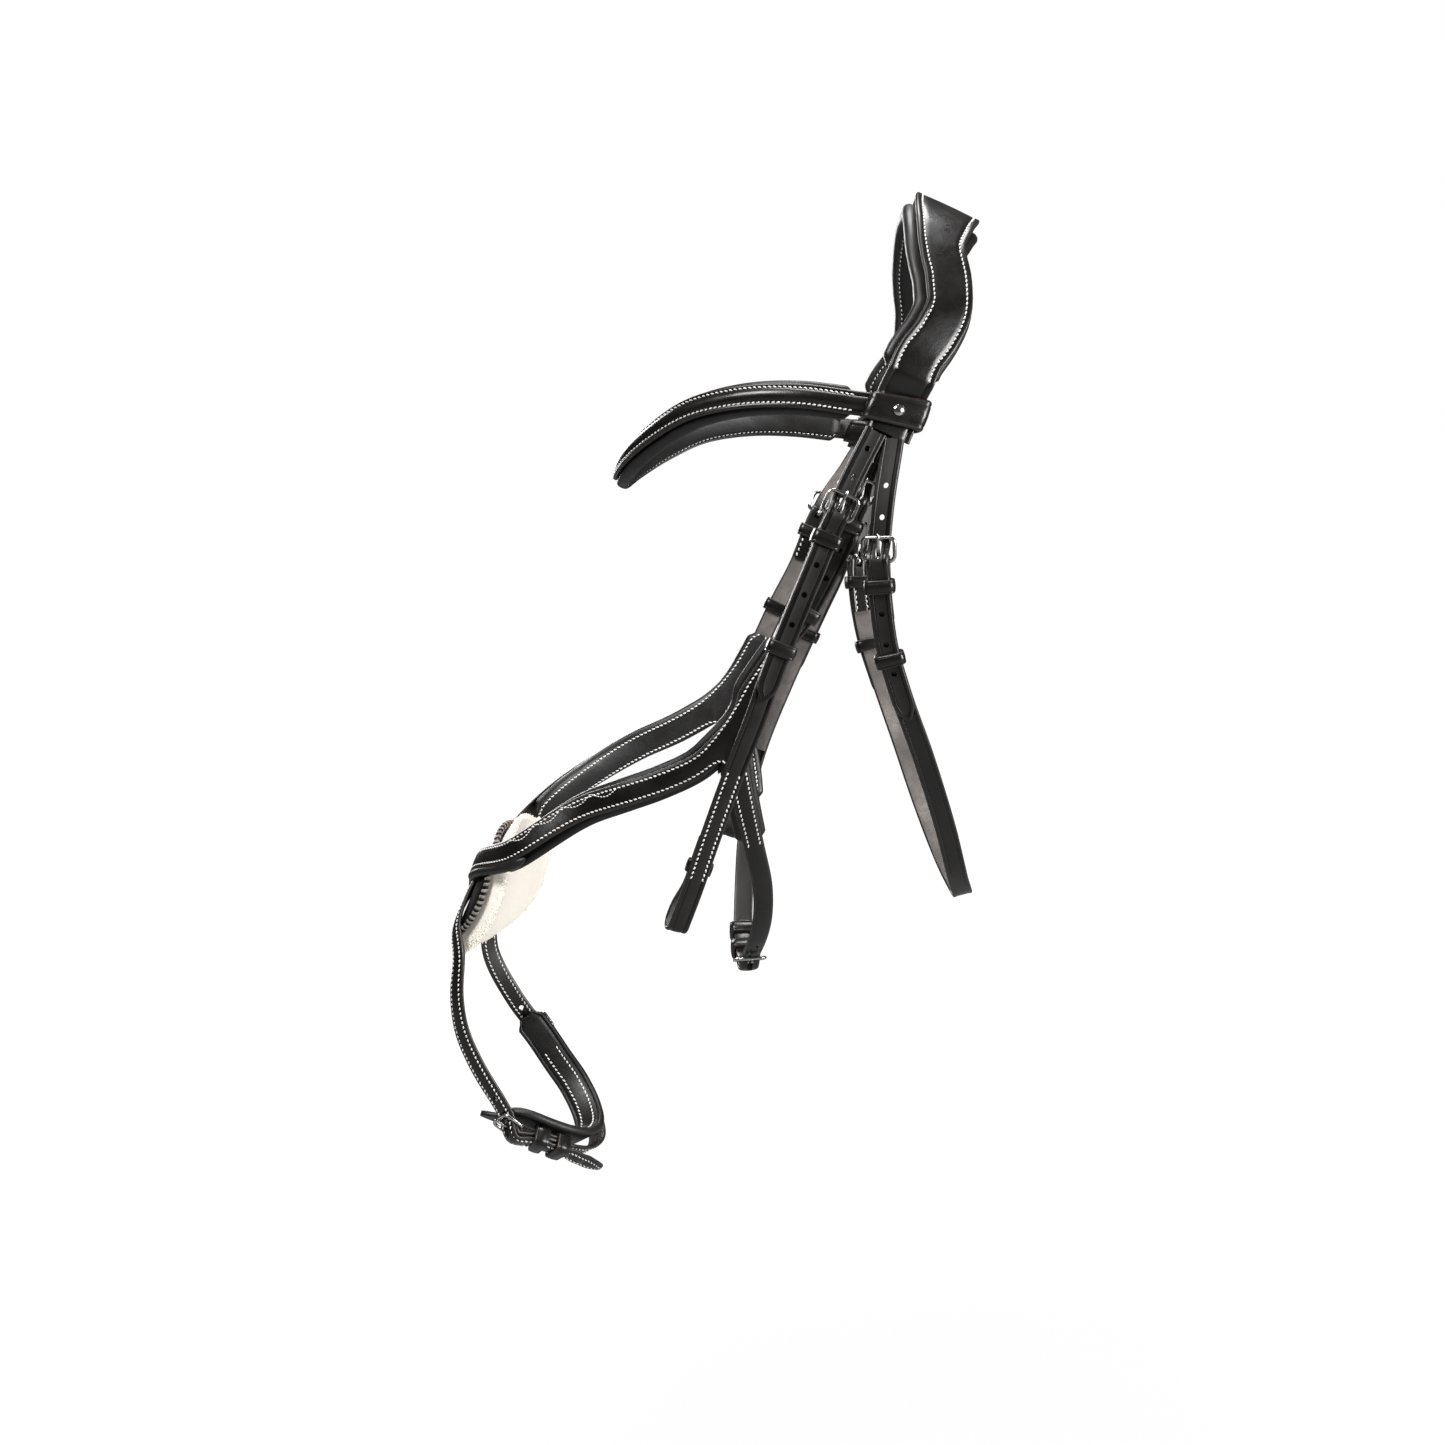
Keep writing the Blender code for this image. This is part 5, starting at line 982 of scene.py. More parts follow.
def lace_shape():
    """The lacing: slanted turns of flat lace over the disc's rim."""
    radius, thick = DISC_DIAMETER / 2, DISC_THICKNESS
    shapes = []
    for i in range(LACE_TURNS):
        rings = []
        for number in range(LACE_STEPS + 1):
            share = number / LACE_STEPS - 0.5
            turn = math.pi * LACE_ARC * share
            angle = 2 * math.pi / LACE_TURNS * (i + LACE_LEAN * share)
            spot, away = bent(radius - LACE_INSET + LACE_REACH * math.cos(turn),
                              thick / 2 + (thick / 2 + LACE_RISE) * math.sin(turn), angle)
            beside = (bent(radius, 0.0, angle + 0.01)[0] - bent(radius, 0.0, angle)[0]).normalized()
            outward = outward_at(radius, 0.0, angle, 0.001) * math.cos(turn) + away * math.sin(turn)
            rings.append(circle(spot, beside * LACE_WIDTH / 2, outward * LACE_THICKNESS / 2, 1.0, 8))
        shapes.append(skin(rings))
    return joined(*shapes)


def cushion(turn, pile):
    """Radius, height and tilt of the fleece's skin, from the middle of its face round to its back."""
    outer, deep = FLEECE_DIAMETER / 2 - pile / 2, FLEECE_THICKNESS - pile / 2
    radius = outer * max(0.0, math.sin(turn)) ** FLEECE_ROUND
    return radius, -FLEECE_GAP - deep * (0.5 + 0.5 * math.cos(turn)), turn * FLEECE_TILT


def fleece_skin(pile):
    """The fleece's skin, lightly tufted."""
    rings = []
    for i in range(FLEECE_RINGS):
        share = FLEECE_MIDDLE + (1.0 - 2 * FLEECE_MIDDLE) * i / (FLEECE_RINGS - 1)
        r, h, tilt = cushion(math.pi * share, pile)
        ring = []
        for j in range(FLEECE_SIDES):
            spot, away = bent(r, h, 2 * math.pi * j / FLEECE_SIDES)
            tuft = sum(noise.noise(spot * scale) * size for scale, size in TUFTS)
            ring.append(spot - away * tuft * TUFT_DEPTH)
        rings.append(ring)
    return skin(rings)


def fleece_lock(pile, rng):
    """One lock at the fleece's rim, bent over to a random side."""
    angle = rng.uniform(0, 2 * math.pi)
    r, h, tilt = cushion(math.pi * rng.uniform(*LOCK_ARC), pile)
    root, away = bent(r, h, angle)
    grow = (outward_at(r, h, angle, 0.002) * math.sin(tilt) - away * math.cos(tilt)).normalized()
    drift = Vector(rng.gauss(0, 1) for _ in range(3)).normalized()
    bend = grow.cross(drift).normalized()
    length, wide = pile * rng.uniform(*LOCK_LENGTH), rng.uniform(*LOCK_WIDTH)
    side = grow.cross(bend).normalized()
    rings = []
    for share in LOCK_SHARES:
        spot = root - grow * LOCK_ROOT + grow * length * share + bend * length * LOCK_BEND * share * share
        size = wide * (1.0 - share * LOCK_TAPER)
        rings.append([spot + (side * math.cos(a) + bend * math.sin(a)) * size for a in LOCK_ANGLES])
    return skin(rings)


class LeatherSettings(bpy.types.PropertyGroup):
    """Colours and surface of the leather."""
    colour: bpy.props.FloatVectorProperty(
        name="Leather colour", description="Colour of the smooth side", subtype="COLOR", size=3,
        min=0, max=1, default=(0.0042, 0.0034, 0.0031))
    # Edge colour: the burnished edges' own brown, lightened further as a painted highlight on the rolled
    # edges.
    edge_and_highlight_colour: bpy.props.FloatVectorProperty(
        name="Edge colour", description="Colour of the burnished edges", subtype="COLOR", size=3,
        min=0, max=1, default=(0.026, 0.0195, 0.0165))
    flesh_colour: bpy.props.FloatVectorProperty(
        name="Flesh side colour", description="Colour of the rough inner side", subtype="COLOR", size=3,
        min=0, max=1, default=(0.155, 0.140, 0.130))
    soft_colour: bpy.props.FloatVectorProperty(
        name="Padding colour", description="Colour of the soft leather over the padding", subtype="COLOR",
        size=3, min=0, max=1, default=(0.0055, 0.0048, 0.0046))
    grain: bpy.props.FloatProperty(
        name="Grain", description="Size of one pebble of the leather's grain", unit="LENGTH",
        default=0.0009, min=0.0002, precision=4)
    brow_raise: bpy.props.FloatProperty(
        name="Browband bulge", description="How far the browband's middle stands up", unit="LENGTH",
        default=0.0022, min=0.0, precision=4)


class StitchSettings(bpy.types.PropertyGroup):
    """Thread and stitches."""
    colour: bpy.props.FloatVectorProperty(
        name="Thread colour", description="Colour of the thread", subtype="COLOR", size=3, min=0, max=1,
        default=(0.93, 0.91, 0.87))
    pitch: bpy.props.FloatProperty(
        name="Stitch pitch", description="Distance from stitch to stitch", unit="LENGTH", default=0.0031,
        min=0.001, precision=4)
    length: bpy.props.FloatProperty(
        name="Stitch length", description="Length of one stitch", unit="LENGTH", default=0.0026,
        min=0.0005, precision=4)
    thread: bpy.props.FloatProperty(
        name="Thread thickness", description="Thickness of the thread", unit="LENGTH", default=0.00095,
        min=0.0002, precision=4)
    slant: bpy.props.FloatProperty(
        name="Stitch slant", description="How far each stitch leans from its seam", subtype="ANGLE",
        unit="ROTATION", default=math.radians(16.0))
    inset: bpy.props.FloatProperty(
        name="Seam inset", description="Distance of a seam from the leather's edge", unit="LENGTH",
        default=0.0030, min=0.0005, precision=4)


class MetalSettings(bpy.types.PropertyGroup):
    """Colour of the buckles."""
    colour: bpy.props.FloatVectorProperty(
        name="Steel colour", description="Colour of the buckles", subtype="COLOR", size=3, min=0, max=1,
        default=(0.58, 0.575, 0.56))


class FleeceSettings(bpy.types.PropertyGroup):
    """Fleece of the nose pad."""
    colour: bpy.props.FloatVectorProperty(
        name="Fleece colour", description="Colour of the fleece", subtype="COLOR", size=3, min=0, max=1,
        default=(0.96, 0.905, 0.81))
    pile: bpy.props.FloatProperty(
        name="Pile", description="Length of one lock of the fleece", unit="LENGTH", default=0.0026, min=0.001,
        precision=4)
    locks: bpy.props.IntProperty(
        name="Locks", description="How many locks the fleece has", subtype="UNSIGNED", default=3000, min=100)


class StageSettings(bpy.types.PropertyGroup):
    """Floor, light and camera."""
    floor_drop: bpy.props.FloatProperty(
        name="Floor drop", description="Height of the floor under the poll", unit="LENGTH", default=0.95,
        min=0.7)
    floor_colour: bpy.props.FloatVectorProperty(
        name="Floor colour", description="Colour of the floor", subtype="COLOR", size=3, min=0, max=1,
        default=(0.25, 0.25, 0.25))
    lens: bpy.props.FloatProperty(
        name="Lens", description="Focal length of the camera", subtype="DISTANCE_CAMERA", default=37.37,
        min=10.0)


def add_node(tree, kind, inputs=(), **values):
    """A node with its properties and its inputs set."""
    node = tree.nodes.new(kind)
    for key, value in values.items():
        setattr(node, key, value)
    for key, value in dict(inputs).items():
        if isinstance(value, bpy.types.NodeSocket):
            tree.links.new(value, node.inputs[key])
        else:
            node.inputs[key].default_value = value
    return node


class Surface:
    """A material being made, with its Principled shader."""

    def __init__(self, name, colour, roughness, metallic=0.0, **sockets):
        self.made = bpy.data.materials.new(name)
        self.made.use_nodes = True
        self.tree = self.made.node_tree
        self.shader = self.tree.nodes["Principled BSDF"]
        self.coordinates = self.tree.nodes.new("ShaderNodeTexCoord").outputs["Object"]
        self.colour = (*colour, 1.0)
        self.shader.inputs["Base Color"].default_value = self.colour
        self.shader.inputs["Roughness"].default_value = roughness
        self.shader.inputs["Metallic"].default_value = metallic
        for socket, value in sockets.items():
            self.shader.inputs[socket.replace("_", " ")].default_value = value

    def node(self, kind, inputs=(), **values):
        """A node of this material."""
        return add_node(self.tree, kind, inputs, **values)

    def noise(self, scale, detail=4.0, roughness=0.55):
        """Soft noise over the piece."""
        return self.node("ShaderNodeTexNoise", {"Vector": self.coordinates, "Scale": scale, "Detail": detail,
                                                "Roughness": roughness}).outputs["Fac"]

    def cells(self, scale):
        """Distance to the middle of each pebble."""
        pebbles = self.node("ShaderNodeTexVoronoi", {"Vector": self.coordinates, "Scale": scale})
        return pebbles.outputs["Distance"]

    def between(self, fac, low, high, start=0.3, end=0.7):
        """A number that runs from low to high as fac goes from start to end."""
        ends = {"From Min": start, "From Max": end, "To Min": low, "To Max": high}
        return self.node("ShaderNodeMapRange", {"Value": fac, **ends}).outputs["Result"]

    def tinted(self, fac, colour, start=0.35, end=0.7):
        """Mix the base colour with a second one."""
        mix = self.node("ShaderNodeMix", {"Factor": self.between(fac, 0.0, 1.0, start, end)}, data_type="RGBA")
        base = self.shader.inputs["Base Color"]
        if base.is_linked:
            self.tree.links.new(base.links[0].from_socket, mix.inputs["A"])
        else:
            mix.inputs["A"].default_value = self.colour
        mix.inputs["B"].default_value = (*colour, 1.0)
        self.tree.links.new(mix.outputs["Result"], base)

    def uneven(self, fac, low, high):
        """Let the roughness vary."""
        self.tree.links.new(self.between(fac, low, high), self.shader.inputs["Roughness"])

    def raised(self, fac, depth, strength=1.0):
        """Add a bump of this depth."""
        bump = self.node("ShaderNodeBump", {"Height": fac, "Distance": depth, "Strength": strength})
        normal = self.shader.inputs["Normal"]
        if normal.is_linked:
            self.tree.links.new(normal.links[0].from_socket, bump.inputs["Normal"])
        self.tree.links.new(bump.outputs["Normal"], normal)


def scaled(colour, share):
    """A lighter or darker colour."""
    return tuple(min(1.0, c * share) for c in colour)


def face_finish(look):
    """The smooth, slightly glossy side of the leather."""
    face = Surface("Bridle leather", look.colour, 0.30, Specular_IOR_Level=0.42, Coat_Weight=0.16,
                   Coat_Roughness=0.18)
    face.tinted(face.noise(38.0), scaled(look.colour, 2.0))
    face.tinted(face.noise(420.0, 2.0), scaled(look.colour, 0.75), 0.55, 0.8)
    face.uneven(face.noise(70.0), 0.24, 0.38)
    face.raised(face.cells(1.0 / look.grain), 0.00006, 0.5)
    face.raised(face.noise(0.22 / look.grain, 5.0), 0.00030, 0.35)


def channel_finish(look):
    """The duller leather of linings and billets."""
    channel = Surface("Bridle channel", scaled(look.colour, 0.8), 0.5)
    channel.tinted(channel.noise(60.0), scaled(look.edge_and_highlight_colour, 0.5))
    channel.raised(channel.cells(1.4 / look.grain), 0.00006, 0.6)


def edge_and_highlight_finish(look):
    """The burnished edges, their own brown lightened further as a painted highlight on the rolled rims."""
    edge = Surface("Bridle edge and painted highlight", look.edge_and_highlight_colour, 0.38, Coat_Weight=0.15, Coat_Roughness=0.3)
    edge.tinted(edge.noise(160.0), scaled(look.edge_and_highlight_colour, 0.45))
    edge.raised(edge.noise(900.0, 3.0), 0.00010, 0.6)


def flesh_finish(look):
    """The rough inner side of the leather."""
    flesh = Surface("Bridle flesh side", look.flesh_colour, 0.92, Sheen_Weight=0.25, Sheen_Roughness=0.5)
    flesh.tinted(flesh.noise(240.0, 6.0), scaled(look.flesh_colour, 1.8))
    flesh.tinted(flesh.noise(30.0), scaled(look.flesh_colour, 0.6))
    flesh.raised(flesh.noise(1500.0, 6.0), 0.00025, 0.8)


def soft_finish(look):
    """The soft leather over the padding."""
    soft = Surface("Bridle soft leather", look.soft_colour, 0.44, Coat_Weight=0.08, Coat_Roughness=0.35)
    soft.tinted(soft.noise(50.0), scaled(look.soft_colour, 1.9))
    soft.uneven(soft.noise(90.0), 0.38, 0.56)
    soft.raised(soft.cells(0.8 / look.grain), 0.00010, 0.6)
    soft.raised(soft.noise(150.0, 4.0), 0.0006, 0.35)


def thread_finish(colour):
    """The thread of the seams."""
    cotton = Surface("Bridle thread", colour, 0.75, Sheen_Weight=0.3)
    cotton.tinted(cotton.noise(700.0), scaled(colour, 0.72))
    cotton.raised(cotton.noise(2600.0, 2.0), 0.00012, 0.7)


def steel_finish(colour):
    """The steel of the buckles, lightly worn."""
    steel = Surface("Bridle steel", colour, 0.2, 1.0)
    steel.tinted(steel.noise(300.0), scaled(colour, 0.8))
    steel.uneven(steel.noise(180.0, 6.0), 0.14, 0.30)
    steel.raised(steel.noise(1200.0, 3.0), 0.00004, 0.4)


def lace_finish(look):
    """The lace round the nose disc."""
    lace = Surface("Bridle lace", scaled(look.flesh_colour, 0.8), 0.55)
    lace.tinted(lace.noise(300.0), scaled(look.flesh_colour, 2.6))
    lace.raised(lace.noise(1500.0, 3.0), 0.00010, 0.6)


def wool_finish(colour):
    """The fleece. Its faint glow stands in for the light that scatters inside the pile."""
    wool = Surface("Bridle fleece", colour, 0.9, Sheen_Weight=0.6, Sheen_Roughness=0.5,
                   Emission_Color=(*colour, 1.0), Emission_Strength=0.15)
    wool.tinted(wool.noise(60.0, 3.0), scaled(colour, 0.96), 0.4, 0.75)
    wool.tinted(wool.noise(28.0), scaled(colour, 1.04), 0.5, 0.8)
    wool.raised(wool.noise(900.0, 4.0), 0.00015, 0.5)


class BRIDLE_OT_finishes(bpy.types.Operator):
    """Make the leather, thread, steel and fleece materials"""
    bl_idname = "bridle.finishes"
    bl_label = "Materials"

    def execute(self, context):
        scene = context.scene
        for finish in (face_finish, channel_finish, edge_and_highlight_finish, flesh_finish, soft_finish):
            finish(scene.bridle_leather)
        thread_finish(scene.bridle_stitches.colour)
        steel_finish(scene.bridle_metal.colour)
        lace_finish(scene.bridle_leather)
        wool_finish(scene.bridle_fleece.colour)
        return {"FINISHED"}


class BRIDLE_OT_crown(bpy.types.Operator):
    """Build the crown, its padding and the noseband's strap between them"""
    bl_idname = "bridle.crown"
    bl_label = "Crown"

    def execute(self, context):
        look = context.scene.bridle_stitches
        reach = CROWN_PAD_REACH
        mid = CROWN_PAD_THICKNESS / 2
        full = (mid, CROWN_WIDTH + 2 * CROWN_PAD_MARGIN, CROWN_PAD_THICKNESS)
        end = (mid, CROWN_END_WIDTH + 2 * CROWN_PAD_MARGIN, CROWN_PAD_THICKNESS)
        tip = (mid, CROWN_END_WIDTH, CROWN_PAD_THICKNESS * PAD_END_SHARE)
        keys = [(-reach, *tip), (PAD_ROUND - reach, *end), (-CROWN_WAIST, *end), (-CROWN_SHOULDER, *full)]
        keys += [(-s, *size) for s, *size in reversed(keys)]
        pad = Band(crown_route, run(crown_route, [(crown_middle + s, *size) for s, *size in keys]))
        pad_piece("crown_padding", pad, look)

        end_size = (CROWN_END_WIDTH, STRAP_THICKNESS)
        keys = [(CROWN_END_GAP - crown_middle, strap_low + layer, *end_size),
                (-low_reach - CROWN_LAG, strap_low + layer, *end_size),
                (-high_reach - CROWN_LAG, crown_high, *end_size), (-CROWN_WAIST, crown_high, *end_size),
                (-CROWN_SHOULDER, crown_high, CROWN_WIDTH, STRAP_THICKNESS)]
        keys += [(-s, *size) for s, *size in reversed(keys)]
        band = Band(crown_route, run(crown_route, [(crown_middle + s, *size) for s, *size in keys]))
        outline = leather_outline(CROWN_RAISE, crease=CROWN_SEAM_INSET)
        leather = strap_piece("crown_leather", band, LEATHER_FINISHES, outline)
        rows = [band.row(CROWN_SEAM_INSET, lambda thick: thick / 2 - THREAD_SHIFT, side, CROWN_SEAM_END,
                         CROWN_SEAM_END) for side in (-1.0, 1.0)]
        knots = [knot(*row[i], look) for row in rows for i in (0, -1)]
        sewn(leather, joined(*(stitches(row, look) for row in rows), *knots))
        place(leather, "bridle", "crown_leather")

        stations = []
        middle = headstrap_route.mark(len(near_hanger) + len(headstrap_half) - 1)
        for side in ("near", "far"):
            head = heads[side]
            keys = [(0.0, strap_high, HEADSTRAP_WIDTH), (CROWN_SHOULDER, strap_high, HEADSTRAP_WIDTH),
                    (high_reach, strap_high, STRAP_WIDTH), (low_reach, strap_low, STRAP_WIDTH)]
            keys = [(middle + head.way * s, n, width, STRAP_THICKNESS) for s, n, width in keys]
            stations.append(head.billet(keys, NOSEBAND_TIP))
        band = Band(headstrap_route, list(reversed(stations[0])) + stations[1][1:])
        strap = strap_piece("noseband_headstrap", band, LEATHER_FINISHES, leather_outline())
        punched(strap, heads["near"].holes(2, 3) + heads["far"].holes(2, 3))
        place(strap, "bridle", "noseband_headstrap")
        return {"FINISHED"}


class BRIDLE_OT_browband(bpy.types.Operator):
    """Build the browband, its padding and its two loops"""
    bl_idname = "bridle.browband"
    bl_label = "Browband"

    def execute(self, context):
        look = context.scene.bridle_stitches
        length = brow_route.length
        tuck = BROW_REACH + LOOP_TUCK
        band = strap_stretch(brow_route, -tuck, length + tuck, STRAP_THICKNESS / 2, BROW_WIDTH,
                             STRAP_THICKNESS)
        outline = leather_outline(context.scene.bridle_leather.brow_raise, crease=BROW_SEAM_INSET)
        leather = strap_piece("browband_leather", band, LEATHER_FINISHES, outline)
        sewn(leather, stretch_rows(band, look, BROW_SEAM_INSET, lambda thick: thick / 2 + THREAD_SHIFT,
                                   start=LOOP_TUCK, end=LOOP_TUCK))
        place(leather, "bridle", "browband_leather")
        pad = sewn_band(BROW_PAD_WIDTH, BROW_PAD_THICKNESS, brow_route, BROW_END_MARGIN,
                        length - BROW_END_MARGIN, -EASE - BROW_PAD_THICKNESS / 2)
        pad_piece("browband_padding", pad, look)
        half, length = CROWN_END_WIDTH / 2 + LOOP_SIDE_ROOM / 2, LOOP_LENGTH - LOOP_NARROWING
        for side, s, lean in (("near", loop_middle, LOOP_LEAN),
                              ("far", crown_route.length - loop_middle, -LOOP_LEAN)):
            shape = loop_shape(crown_route, s, length, half, -LOOP_INNER_ROOM, loop_seat, LOOP_WALL,
                               LOOP_TURNS, lean)
            place_keeper(side + "_browband_loop", shape, "bridle")
        return {"FINISHED"}


class BRIDLE_OT_cheekpieces(bpy.types.Operator):
    """Build both cheekpieces with their billets and keepers"""
    bl_idname = "bridle.cheekpieces"
    bl_label = "Cheekpieces"

    def execute(self, context):
        look = context.scene.bridle_stitches
        for side, buckle in cheeks.items():
            route, body = buckle.route, side + "_cheek"
            start = (-STRAP_THICKNESS / 2, buckle.under_top, *STRAP_SIZE)
            billet = Band(route, buckle.billet([start], CHEEK_TIP))
            billet_piece(side + "_cheek_billet", billet, buckle.holes(2, 5), route.frame(0.0)[0],
                         route.frame(BEND_REACH)[0])
            foot, radius = route.length, BIT_LOOP_RADIUS + CHAPE_THICKNESS / 2
            down = run(route, [(buckle.at(CHAPE_LENGTH), buckle.outer, *CHAPE_SIZE),
                               (foot, buckle.outer, *CHAPE_SIZE)])
            fold = [(foot + radius * math.sin(a), buckle.outer - radius + radius * math.cos(a), *CHAPE_SIZE)
                    for a in (math.pi * i / TURN_STEPS for i in range(1, TURN_STEPS + 1))]
            back = run(route, [(foot - BIT_LOOP_RADIUS, buckle.outer - 2 * radius, *CHAPE_SIZE),
                               (foot - BIT_LOOP_CLOSE, buckle.inner, *CHAPE_SIZE),
                               (foot - BIT_LOOP_RETURN + SKIVE, buckle.inner, *CHAPE_SIZE),
                               (foot - BIT_LOOP_RETURN, buckle.inner + CHAPE_THICKNESS / 4, STRAP_WIDTH,
                                CHAPE_THICKNESS / 2)])
            strap = Band(route, buckle.chape() + down[1:] + fold + back)
            piece = strap_piece(side + "_cheekpiece", strap, CHANNEL_FINISHES, leather_outline(CHEEK_RAISE))
            punched(piece, [buckle.slot()])
            lower = strap_stretch(route, foot - BIT_SEAM_LENGTH, foot - BIT_LOOP_CLOSE, buckle.outer)
            sewn(piece, joined(buckle.chape_seams(look), stretch_rows(lower, look)))
            place(piece, body, side + "_cheekpiece")
            keeper = loop_shape(route, foot - BIT_KEEPER_SETBACK, KEEPER_LENGTH, STRAP_WIDTH / 2 + KEEPER_ROOM,
                                -KEEPER_ROOM, buckle.inner + CHAPE_THICKNESS / 2 + CLEARANCE,
                                KEEPER_WALL * BIT_KEEPER_SHARE)
            place_keeper(side + "_bit_keeper", keeper, body)
            for name, q, rides in (("_cheek_keeper", KEEPER_SETBACK, body),
                                   ("_cheek_runner", CHEEK_RUNNER, side + "_cheek_runner")):
                place_keeper(side + name, buckle.keeper_shape(q), rides)
        return {"FINISHED"}


class BRIDLE_OT_throatlash(bpy.types.Operator):
    """Build the throatlash with its billets and keepers"""
    bl_idname = "bridle.throatlash"
    bl_label = "Throatlash"

    def execute(self, context):
        look = context.scene.bridle_stitches
        near, far = throats["near"], throats["far"]
        for side, lash, end in (("near", near, 0.0), ("far", far, throat_route.length)):
            start = end - lash.way * STRAP_WIDTH / 2
            keys = [(s, lash.under_top, *STRAP_SIZE) for s in (start, end)]
            billet = Band(throat_route, lash.billet(keys, THROAT_TIP))
            billet_piece(side + "_throat_billet", billet, lash.holes(2, 4),
                         throat_route.frame(end)[0], throat_route.frame(end + lash.way * BEND_REACH)[0])
            for name, q, rides in (("_throat_keeper", KEEPER_SETBACK, "throatlash"),
                                   ("_throat_runner", THROAT_RUNNER, side + "_throat_runner")):
                place_keeper(side + name, lash.keeper_shape(q), rides)
        under = run(throat_route, [(near.at(CHAPE_LENGTH), near.outer, *CHAPE_SIZE),
                                   (far.at(CHAPE_LENGTH), far.outer, *CHAPE_SIZE)])
        band = Band(throat_route, near.chape() + under[1:-1] + list(reversed(far.chape())))
        strap = strap_piece("throatlash_strap", band, LEATHER_FINISHES, leather_outline())
        punched(strap, [near.slot(), far.slot()])
        sewn(strap, joined(near.chape_seams(look, True), far.chape_seams(look, True)))
        place(strap, "throatlash", "throatlash_strap")
        return {"FINISHED"}


class NosebandHalf:
    """Half of the noseband: a Y whose arms run up to its buckle, over the nose and under the jaw."""

    def __init__(self, side, arm_route, chin_bar, lift):
        self.side, self.near, self.arm_route, self.hang = side, side == "near", arm_route, hangs[side]
        self.junction, self.cross = self.hang.route.length, arm_route.mark(CROSSING)
        self.joint, along, across, self.out = self.hang.route.frame(self.junction)
        self.corners = [("C", "A"), ("B", "A"), ("C", "B")]
        if not self.near:
            self.corners[:2] = [("A", "C"), ("A", "B")]
        self.chin_end = Fastening(arm_route, arm_route.mark(chin_bar), 1)
        level = DISC_THICKNESS + DISC_GAP + STRAP_THICKNESS / 2
        self.arm_keys = [(JUNCTION_REACH, plate, *ARM_SIZE), (NOSE_ARM_START, plate, *NOSE_ARM_SIZE),
                         (self.cross - DISC_DIAMETER / 2 - DISC_LEAD, level, *NOSE_ARM_SIZE),
                         (self.cross - CROSS_REACH, level + lift, *NOSE_ARM_SIZE),
                         (self.cross + CROSS_REACH, level + lift, *NOSE_ARM_SIZE),
                         (self.cross + DISC_DIAMETER / 2 + DISC_LEAD, level, *STRAP_SIZE)]
        tip_lift = 0.0 if self.near else CHIN_TIP_LIFT
        stations = self.chin_end.billet(self.arm_keys, CHIN_TIP, tip_lift, ROUND_TIP_WIDTH)
        self.front_band = Band(arm_route, stations)

    def hanging(self, start):
        """Stations of the strap that hangs down to the junction."""
        return run(self.hang.route, [(self.hang.at(start), plate, *CHAPE_SIZE),
                                     (self.junction - FLARE_REACH, plate, *CHAPE_SIZE),
                                     (self.junction - JUNCTION_REACH, plate, *ARM_SIZE)])

    def rear_bands(self):
        """The whole rear arm, and the stretch of it that has seams."""
        if self.near:
            keys = [(JUNCTION_REACH, plate, *ARM_SIZE), (REAR_PAD_REACH, plate, *STRAP_SIZE)]
            whole = jaw.billet(keys, JAW_TIP, 0.0, ROUND_TIP_WIDTH)
        else:
            end = jaw_route.length
            keys = [(end - JUNCTION_REACH, plate, *ARM_SIZE), (end - REAR_PAD_REACH, plate, *STRAP_SIZE)]
            whole = jaw.chape() + run(jaw_route, [(jaw.at(CHAPE_LENGTH), plate, *CHAPE_SIZE)] + keys[::-1])[1:]
        return Band(jaw_route, whole), Band(jaw_route, run(jaw_route, keys))

    def place_leather(self, look):
        """The Y of leather, punched, sewn and in its place."""
        top_band = Band(self.hang.route, self.hang.chape() + self.hanging(CHAPE_LENGTH)[1:])
        rear_band, behind = self.rear_bands()
        rings = [plate_rings(band, PLATE_SHARES) for band in (top_band, self.front_band, rear_band)]
        rings[1].reverse()
        if self.near:
            rings[2].reverse()
        arms = [(ring, *pair) for ring, pair in zip(rings, self.corners)]
        lining = CHANNEL if self.near else FLESH
        shape, spots = y_skin(arms, self.joint, self.out, plate, ARM_WIDTH / 2, STRAP_THICKNESS, PLATE_SHARES,
                              [FACE, FACE, EDGE, EDGE, lining, lining, EDGE, EDGE])
        leather = rounded(built(self.side + "_noseband_leather", shape, LEATHER))
        jaw_cuts = jaw.holes(1, 2) if self.near else [jaw.slot()]
        punched(leather, [self.hang.slot()] + self.chin_end.holes(1, 2) + jaw_cuts)
        for face in leather.data.polygons:
            if face.material_index == FLESH and face.center.z < self.joint.z - JUNCTION_REACH:
                face.material_index = CHANNEL

        # Seams run down each arm's edges and round the corners of the Y
        above = Band(self.hang.route, self.hanging(NOSE_PAD_START - PLATE_SEAM_LEAD))
        bands = {"above": above, "ahead": self.front_band, "behind": behind}
        seams = y_seams(bands, spots, self.joint + self.out * plate, self.out, look.inset,
                        lambda thick: thick * PLATE_SEAM_LIFT, look)
        if self.near:
            seams += self.near_seams(look)
            self.place_roll()
        sewn(leather, joined(*seams, self.hang.chape_seams(look, True)))
        place(leather, "bridle", self.side + "_noseband_leather")

    def near_seams(self, look):
        """Seams on the underside of the near arm's lower end, and the fancy seam over the nose."""
        seams = under_rows(self.front_band, look, self.cross + DISC_DIAMETER / 2 + DISC_LEAD - JUNCTION_REACH)
        begin = self.arm_keys[1][0]
        fancy = Band(self.arm_route, run(self.arm_route, self.arm_keys[1:4]))
        row = fancy_row(fancy, self.cross - FANCY_START - begin, self.cross - FANCY_END - begin)
        return seams + [stitches(row, look, pitch=FANCY_PITCH, share=FANCY_THREAD_SHARE)]

